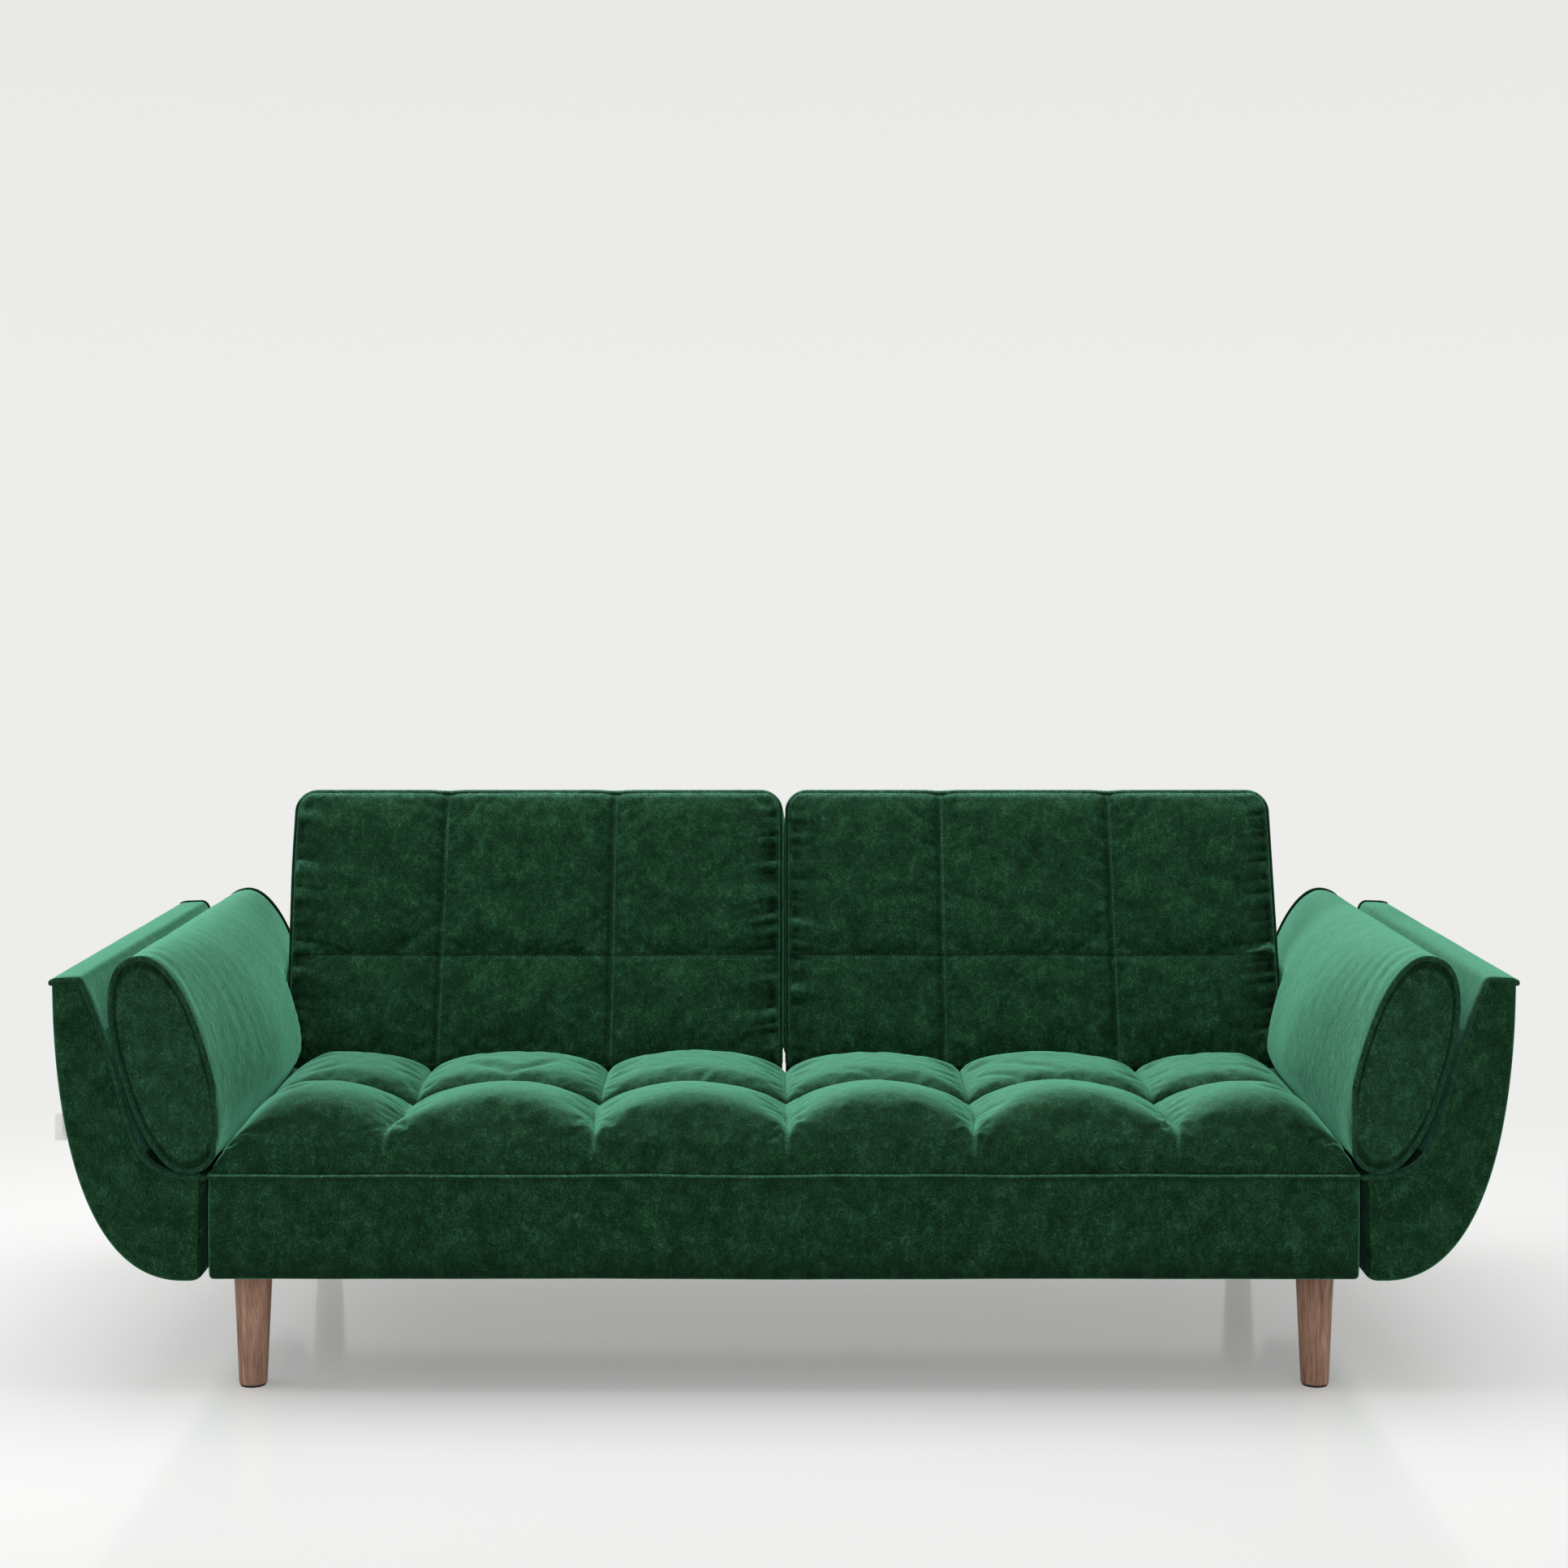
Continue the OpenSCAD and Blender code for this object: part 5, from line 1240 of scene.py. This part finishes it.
# A bolster's section is a superellipse of this power that leans outwards; the dual power gives its half width
OVAL = 2.33
DUAL = OVAL / (OVAL - 1)
LEAN = math.radians(17)
HALF_H, HALF_W = 0.1755, 0.0695
HALF_X = ((HALF_W * math.cos(LEAN)) ** DUAL + (HALF_H * math.sin(LEAN)) ** DUAL) ** (1 / DUAL)
ROLL_X = ROLL_HI.x - HALF_X
ROLL_Z = (ROLL_LO.z + ROLL_HI.z) / 2
ROLL_ENDS = (ROLL_LO.y + CORD_R, ROLL_HI.y - CORD_R)
FLAT_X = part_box("right_bolster")[0].x
ROUND_N = 132
ROUND = np.arange(ROUND_N) * 2 * math.pi / ROUND_N
END_RINGS = (1.0, 0.985, 0.96, 0.93, 0.91, 0.89, 0.86, 0.8, 0.65, 0.5, 0.35, 0.2, 0.08)
# Painted shade in the end panels' seam inside their piping, a painted pale ring inside it, and slight
# paleness over the rest
END_PAINTED_LIGHT = {1.0: -0.3, 0.985: -0.4, 0.96: -0.5, 0.93: -0.25, 0.91: 0.12, 0.89: 0.15}


def oval(angle, d):
    """Points of the leaning oval at their angles, inset by d."""
    power = lambda v: np.sign(v) * np.power(np.abs(v), 2 / OVAL)
    b = (HALF_W - d) * power(np.cos(angle))
    a = (HALF_H - d) * power(np.sin(angle))
    x = ROLL_X + a * math.sin(LEAN) + b * math.cos(LEAN)
    return x, ROLL_Z + a * math.cos(LEAN) - b * math.sin(LEAN)


def pressed(x, y, z, d):
    """The inner side lies flat against the back's end, behind the face of the back."""
    rise = z - PIN[2] + FACE_Y * math.sin(RECLINE)
    face_y = PIN[1] + FACE_Y * math.cos(RECLINE) + rise * math.tan(RECLINE)
    press = smooth((y - (face_y - 0.040)) / 0.034)
    return (1 - press) * x + press * np.maximum(x, FLAT_X + 0.002 + d)


def bolster_round(s):
    """The round side of a bolster, as ((points, faces), its painted light and shade, inset)."""
    y0, y1 = ROLL_ENDS
    ys = spaced(y0 + 0.0005, y1 - 0.0005, 150, 0.03, 4)
    y, a = np.repeat(ys, ROUND_N), np.tile(ROUND, len(ys))
    run, to_end = y - y0, np.minimum(y - y0, y1 - y)
    x, z = oval(a, 0.0)
    where = columns(x + 2 * s, y, z)
    # Soft arcs follow the front piping over the top, and short puckers leave it
    top = np.cos(a - math.radians(112))
    window = smooth((top + 0.25) / 0.9)
    bend = 0.020 * value_noise(where, 0.10, 101, 2) + 0.03 * (1 - top) ** 1.5
    arcs = np.sin(2 * math.pi * (run + bend) / 0.043) * np.exp(-run / 0.13) * smooth(run / 0.02)
    arcs = arcs * np.clip(0.35 + 1.5 * value_noise(where, 0.09, 104), 0, 1.4)
    puckers = noise_line(a * 0.11 + 3 * s, 0.016, 103, 2) * np.exp(-to_end / 0.016) * smooth(to_end / 0.006)
    drift, crush = value_noise(where, 0.16, 105, 2), value_noise(where, 0.035, 107, 2)
    inset = 0.0008 + 0.0058 * np.exp(-to_end / 0.008)
    inset = inset + 0.0013 * arcs * window + 0.0010 * puckers + 0.0016 * drift + 0.0005 * crush + 0.001
    # The middle is fuller than the ends on the side that faces the seat
    seat_side = np.clip(-np.cos(a - math.radians(16)), 0, 1)
    x, z = oval(a, inset)
    swell = 0.045 * seat_side**1.3 * smooth(to_end / 0.36) ** 0.8 * smooth((z - 0.345) / 0.115)
    x = pressed(x - swell, y, z, np.maximum(inset, 0))
    # Painted light: the right bolster's side towards the seat is painted pale as if lit from the left, the
    # left one's top gets a painted highlight, and both are painted lighter and darker along their arcs
    painted_light = 0.45 * seat_side - 0.13 * arcs * window if s > 0 else 0.38 * window - 0.17 * arcs * window
    return (columns(x, y, z), grid_faces(len(ys), ROUND_N, wrap=True)), painted_light, inset


def bolster_end(y_end, way, edge, s):
    """A flat end, slightly domed, inside its piping, as (points, faces)."""
    rings = []
    for share in END_RINGS:
        x, z = oval(ROUND, edge)
        x = ROLL_X + (pressed(x, y_end, z, edge) - ROLL_X) * share
        z = ROLL_Z + (z - ROLL_Z) * share
        crush = value_noise(columns(x + s, 0.0, z), 0.06, 109, 2) * (1 - share)
        dome = 0.0024 * (1 - share**4) + 0.0006 * crush
        rings.append(columns(x, y_end - way * 0.0005 + way * dome, z))
    hub = len(rings) * ROUND_N
    faces = grid_faces(len(rings), ROUND_N, wrap=True, flip=way < 0)
    faces += [face[::-1] if way < 0 else face for face in fan(range(hub - ROUND_N, hub), hub)]
    return np.concatenate(rings + [[(ROLL_X, rings[-1][:, 1].mean(), ROLL_Z)]]), faces


def make_bolster(s, side):
    tube_side, painted_light, inset = bolster_round(s)
    ends = [(ROLL_ENDS[0], -1, inset[:ROUND_N]), (ROLL_ENDS[1], 1, inset[-ROUND_N:])]
    points, faces, kept = weld(*join([tube_side] + [bolster_end(*end, s) for end in ends]))
    end_painted_light = [END_PAINTED_LIGHT.get(share, 0.09) for share in END_RINGS for _ in ROUND] + [0.09]
    points, faces = mirrored(points, faces, s)
    add_velvet(f"{side}_bolster_cushion", points, faces, f"{side}_bolster", [f"{side}_bolster"],
               np.concatenate([painted_light, end_painted_light, end_painted_light])[kept])
    x, z = oval(ROUND, CORD_R)
    sway = np.abs(0.0005 * noise_line(ROUND * 0.1 + s, 0.03, 113, 2))
    cords = []
    for y in ROLL_ENDS:
        out = np.maximum(pressed(x, y, z, CORD_R), FLAT_X + 2 * CORD_R + 0.002)
        cords.append(tube(columns(s * out, y + sway, z), CORD_R, closed=True, up=(0, 1, 0)))
    points, faces = join(cords)
    painted_light = cord_painted_light(points[:, 1], (ROLL_LO.y, ROLL_HI.y))
    add_cord(f"{side}_bolster_welt", points, faces, f"{side}_bolster", f"{side}_bolster_piping", painted_light)


for s, side in SIDES:
    make_bolster(s, side)

settle()

# ---------- Blank tag on the left wing ----------

TAG_LO, TAG_HI = np.array([-1.1375, -0.4395, 0.396]), np.array([-1.1190, -0.4385, 0.438])
# Outside this the tag is free and bows forwards
TAG_SEAM_X = -1.124

points, faces = soft_slab(TAG_LO, TAG_HI, 0.0004, 0.002)
bow = 0.0012 * np.sin((points[:, 2] - TAG_LO[2]) / (TAG_HI[2] - TAG_LO[2]) * math.pi)
points[:, 1] -= bow * (points[:, 0] < TAG_SEAM_X)
add_piece("side_tag", points, faces, LABEL, "base")

# ---------- Camera ----------

camera_data = bpy.data.cameras.new("camera")
camera_data.sensor_width, camera_data.lens = 36, 60.5
camera_data.shift_y, camera_data.clip_end = -0.148, 60
camera = bpy.data.objects.new("camera", camera_data)
camera.location = (0, -4.55, 1.314)
camera.rotation_euler = (math.radians(90), 0, 0)
bpy.context.scene.collection.objects.link(camera)
bpy.context.scene.camera = camera

# ---------- Studio ----------

BACKDROP = (0.847, 0.847, 0.83)
FLOOR_R = 30.0


def seen_plainly(tree):
    """1 for rays from the camera, reflections and refractions, 0 for the light that falls on the sofa."""
    path = add_node(tree, "LightPath")
    value = path.outputs["Is Camera Ray"]
    for name in ("Is Glossy Ray", "Is Transmission Ray"):
        value = add_node(tree, "Math", ((0, value), (1, path.outputs[name])), operation="MAXIMUM").outputs[0]
    return value


def blended(tree, share, first, second, output):
    """Mixes two shaders into the tree's output."""
    blend = add_node(tree, "MixShader", ((0, share), (1, first.outputs[0]), (2, second.outputs[0])))
    tree.links.new(blend.outputs[0], tree.nodes[output].inputs["Surface"])


def make_floor():
    """A pale, slightly glossy floor that keeps the sofa's shadow and fades into the backdrop's tone."""
    material, tree, shader = new_material("studio", Roughness=0.13, Specular_IOR_Level=0.42)
    tone = ramp(tree, noise(tree, place(tree), 0.6, 2, 0.5), (0.3, 0.77), (0.7, 0.79))
    tree.links.new(tone, shader.inputs["Base Color"])
    plain = add_node(tree, "Emission", [("Color", (*BACKDROP, 1))])
    # Distance from the sofa's footprint
    half = (*tuple(cad_box[1])[:2], 1)
    where = add_node(tree, "VectorMath", [(0, place(tree))], operation="ABSOLUTE").outputs["Vector"]
    where = add_node(tree, "VectorMath", ((0, where), (1, half)), operation="SUBTRACT").outputs["Vector"]
    where = add_node(tree, "VectorMath", ((0, where), (1, (0, 0, 0))), operation="MAXIMUM").outputs["Vector"]
    away = add_node(tree, "VectorMath", [(0, where)], operation="LENGTH").outputs["Value"]
    far = map_range(tree, away, 0.10, 1.50, 0.27, 1.0, "SMOOTHSTEP")
    share = add_node(tree, "Math", ((0, far), (1, seen_plainly(tree))), operation="MULTIPLY").outputs[0]
    blended(tree, share, shader, plain, "Material Output")
    line = [-FLOOR_R, -4.0, 0.0, 4.0, FLOOR_R]
    mesh = bpy.data.meshes.new("studio")
    mesh.from_pydata([(x, y, 0.0) for y in line for x in line], [], grid_faces(len(line), len(line)))
    mesh.materials.append(material)
    obj = bpy.data.objects.new("studio", mesh)
    bpy.context.scene.collection.objects.link(obj)


def make_world():
    """Even soft light, and the backdrop's own plain tone where it is seen."""
    world = bpy.data.worlds.new("world")
    world.use_nodes = True
    tree = world.node_tree
    light = tree.nodes["Background"]
    light.inputs["Color"].default_value = (1.0, 1.0, 0.995, 1)
    light.inputs["Strength"].default_value = 0.74
    way = add_node(tree, "TexCoord").outputs["Generated"]
    up = add_node(tree, "SeparateXYZ", [(0, way)]).outputs["Z"]
    darker, top = [[c * share for c in BACKDROP] for share in (0.963, 0.93)]
    tone = ramp(tree, up, (0.03, BACKDROP), (0.21, darker), (0.6, top))
    seen = add_node(tree, "Background", [("Color", tone)])
    blended(tree, seen_plainly(tree), light, seen, "World Output")
    bpy.context.scene.world = world


def soft_light(name, at, towards, size, power, tall=None, glare=True):
    """A large lamp; without glare nothing mirrors it."""
    data = bpy.data.lights.new(name, "AREA")
    data.shape = "RECTANGLE"
    data.size, data.size_y = size, tall or size
    data.energy = power
    obj = bpy.data.objects.new(name, data)
    obj.location = at
    obj.rotation_euler = (Vector(towards) - Vector(at)).to_track_quat("-Z", "Y").to_euler()
    obj.visible_glossy = glare
    bpy.context.scene.collection.objects.link(obj)


make_floor()
make_world()
soft_light("overhead", (0.0, 0.3, 3.6), (0, 0.2, 0), 4.3, 104, 3.0)
soft_light("left", (-5.0, -0.2, 3.3), (0.9, 0.1, 0.5), 2.8, 88, glare=False)
soft_light("front", (0.4, -5.2, 2.4), (0, 0, 0.5), 2.6, 10)

bpy.context.scene.view_settings.view_transform = "Standard"
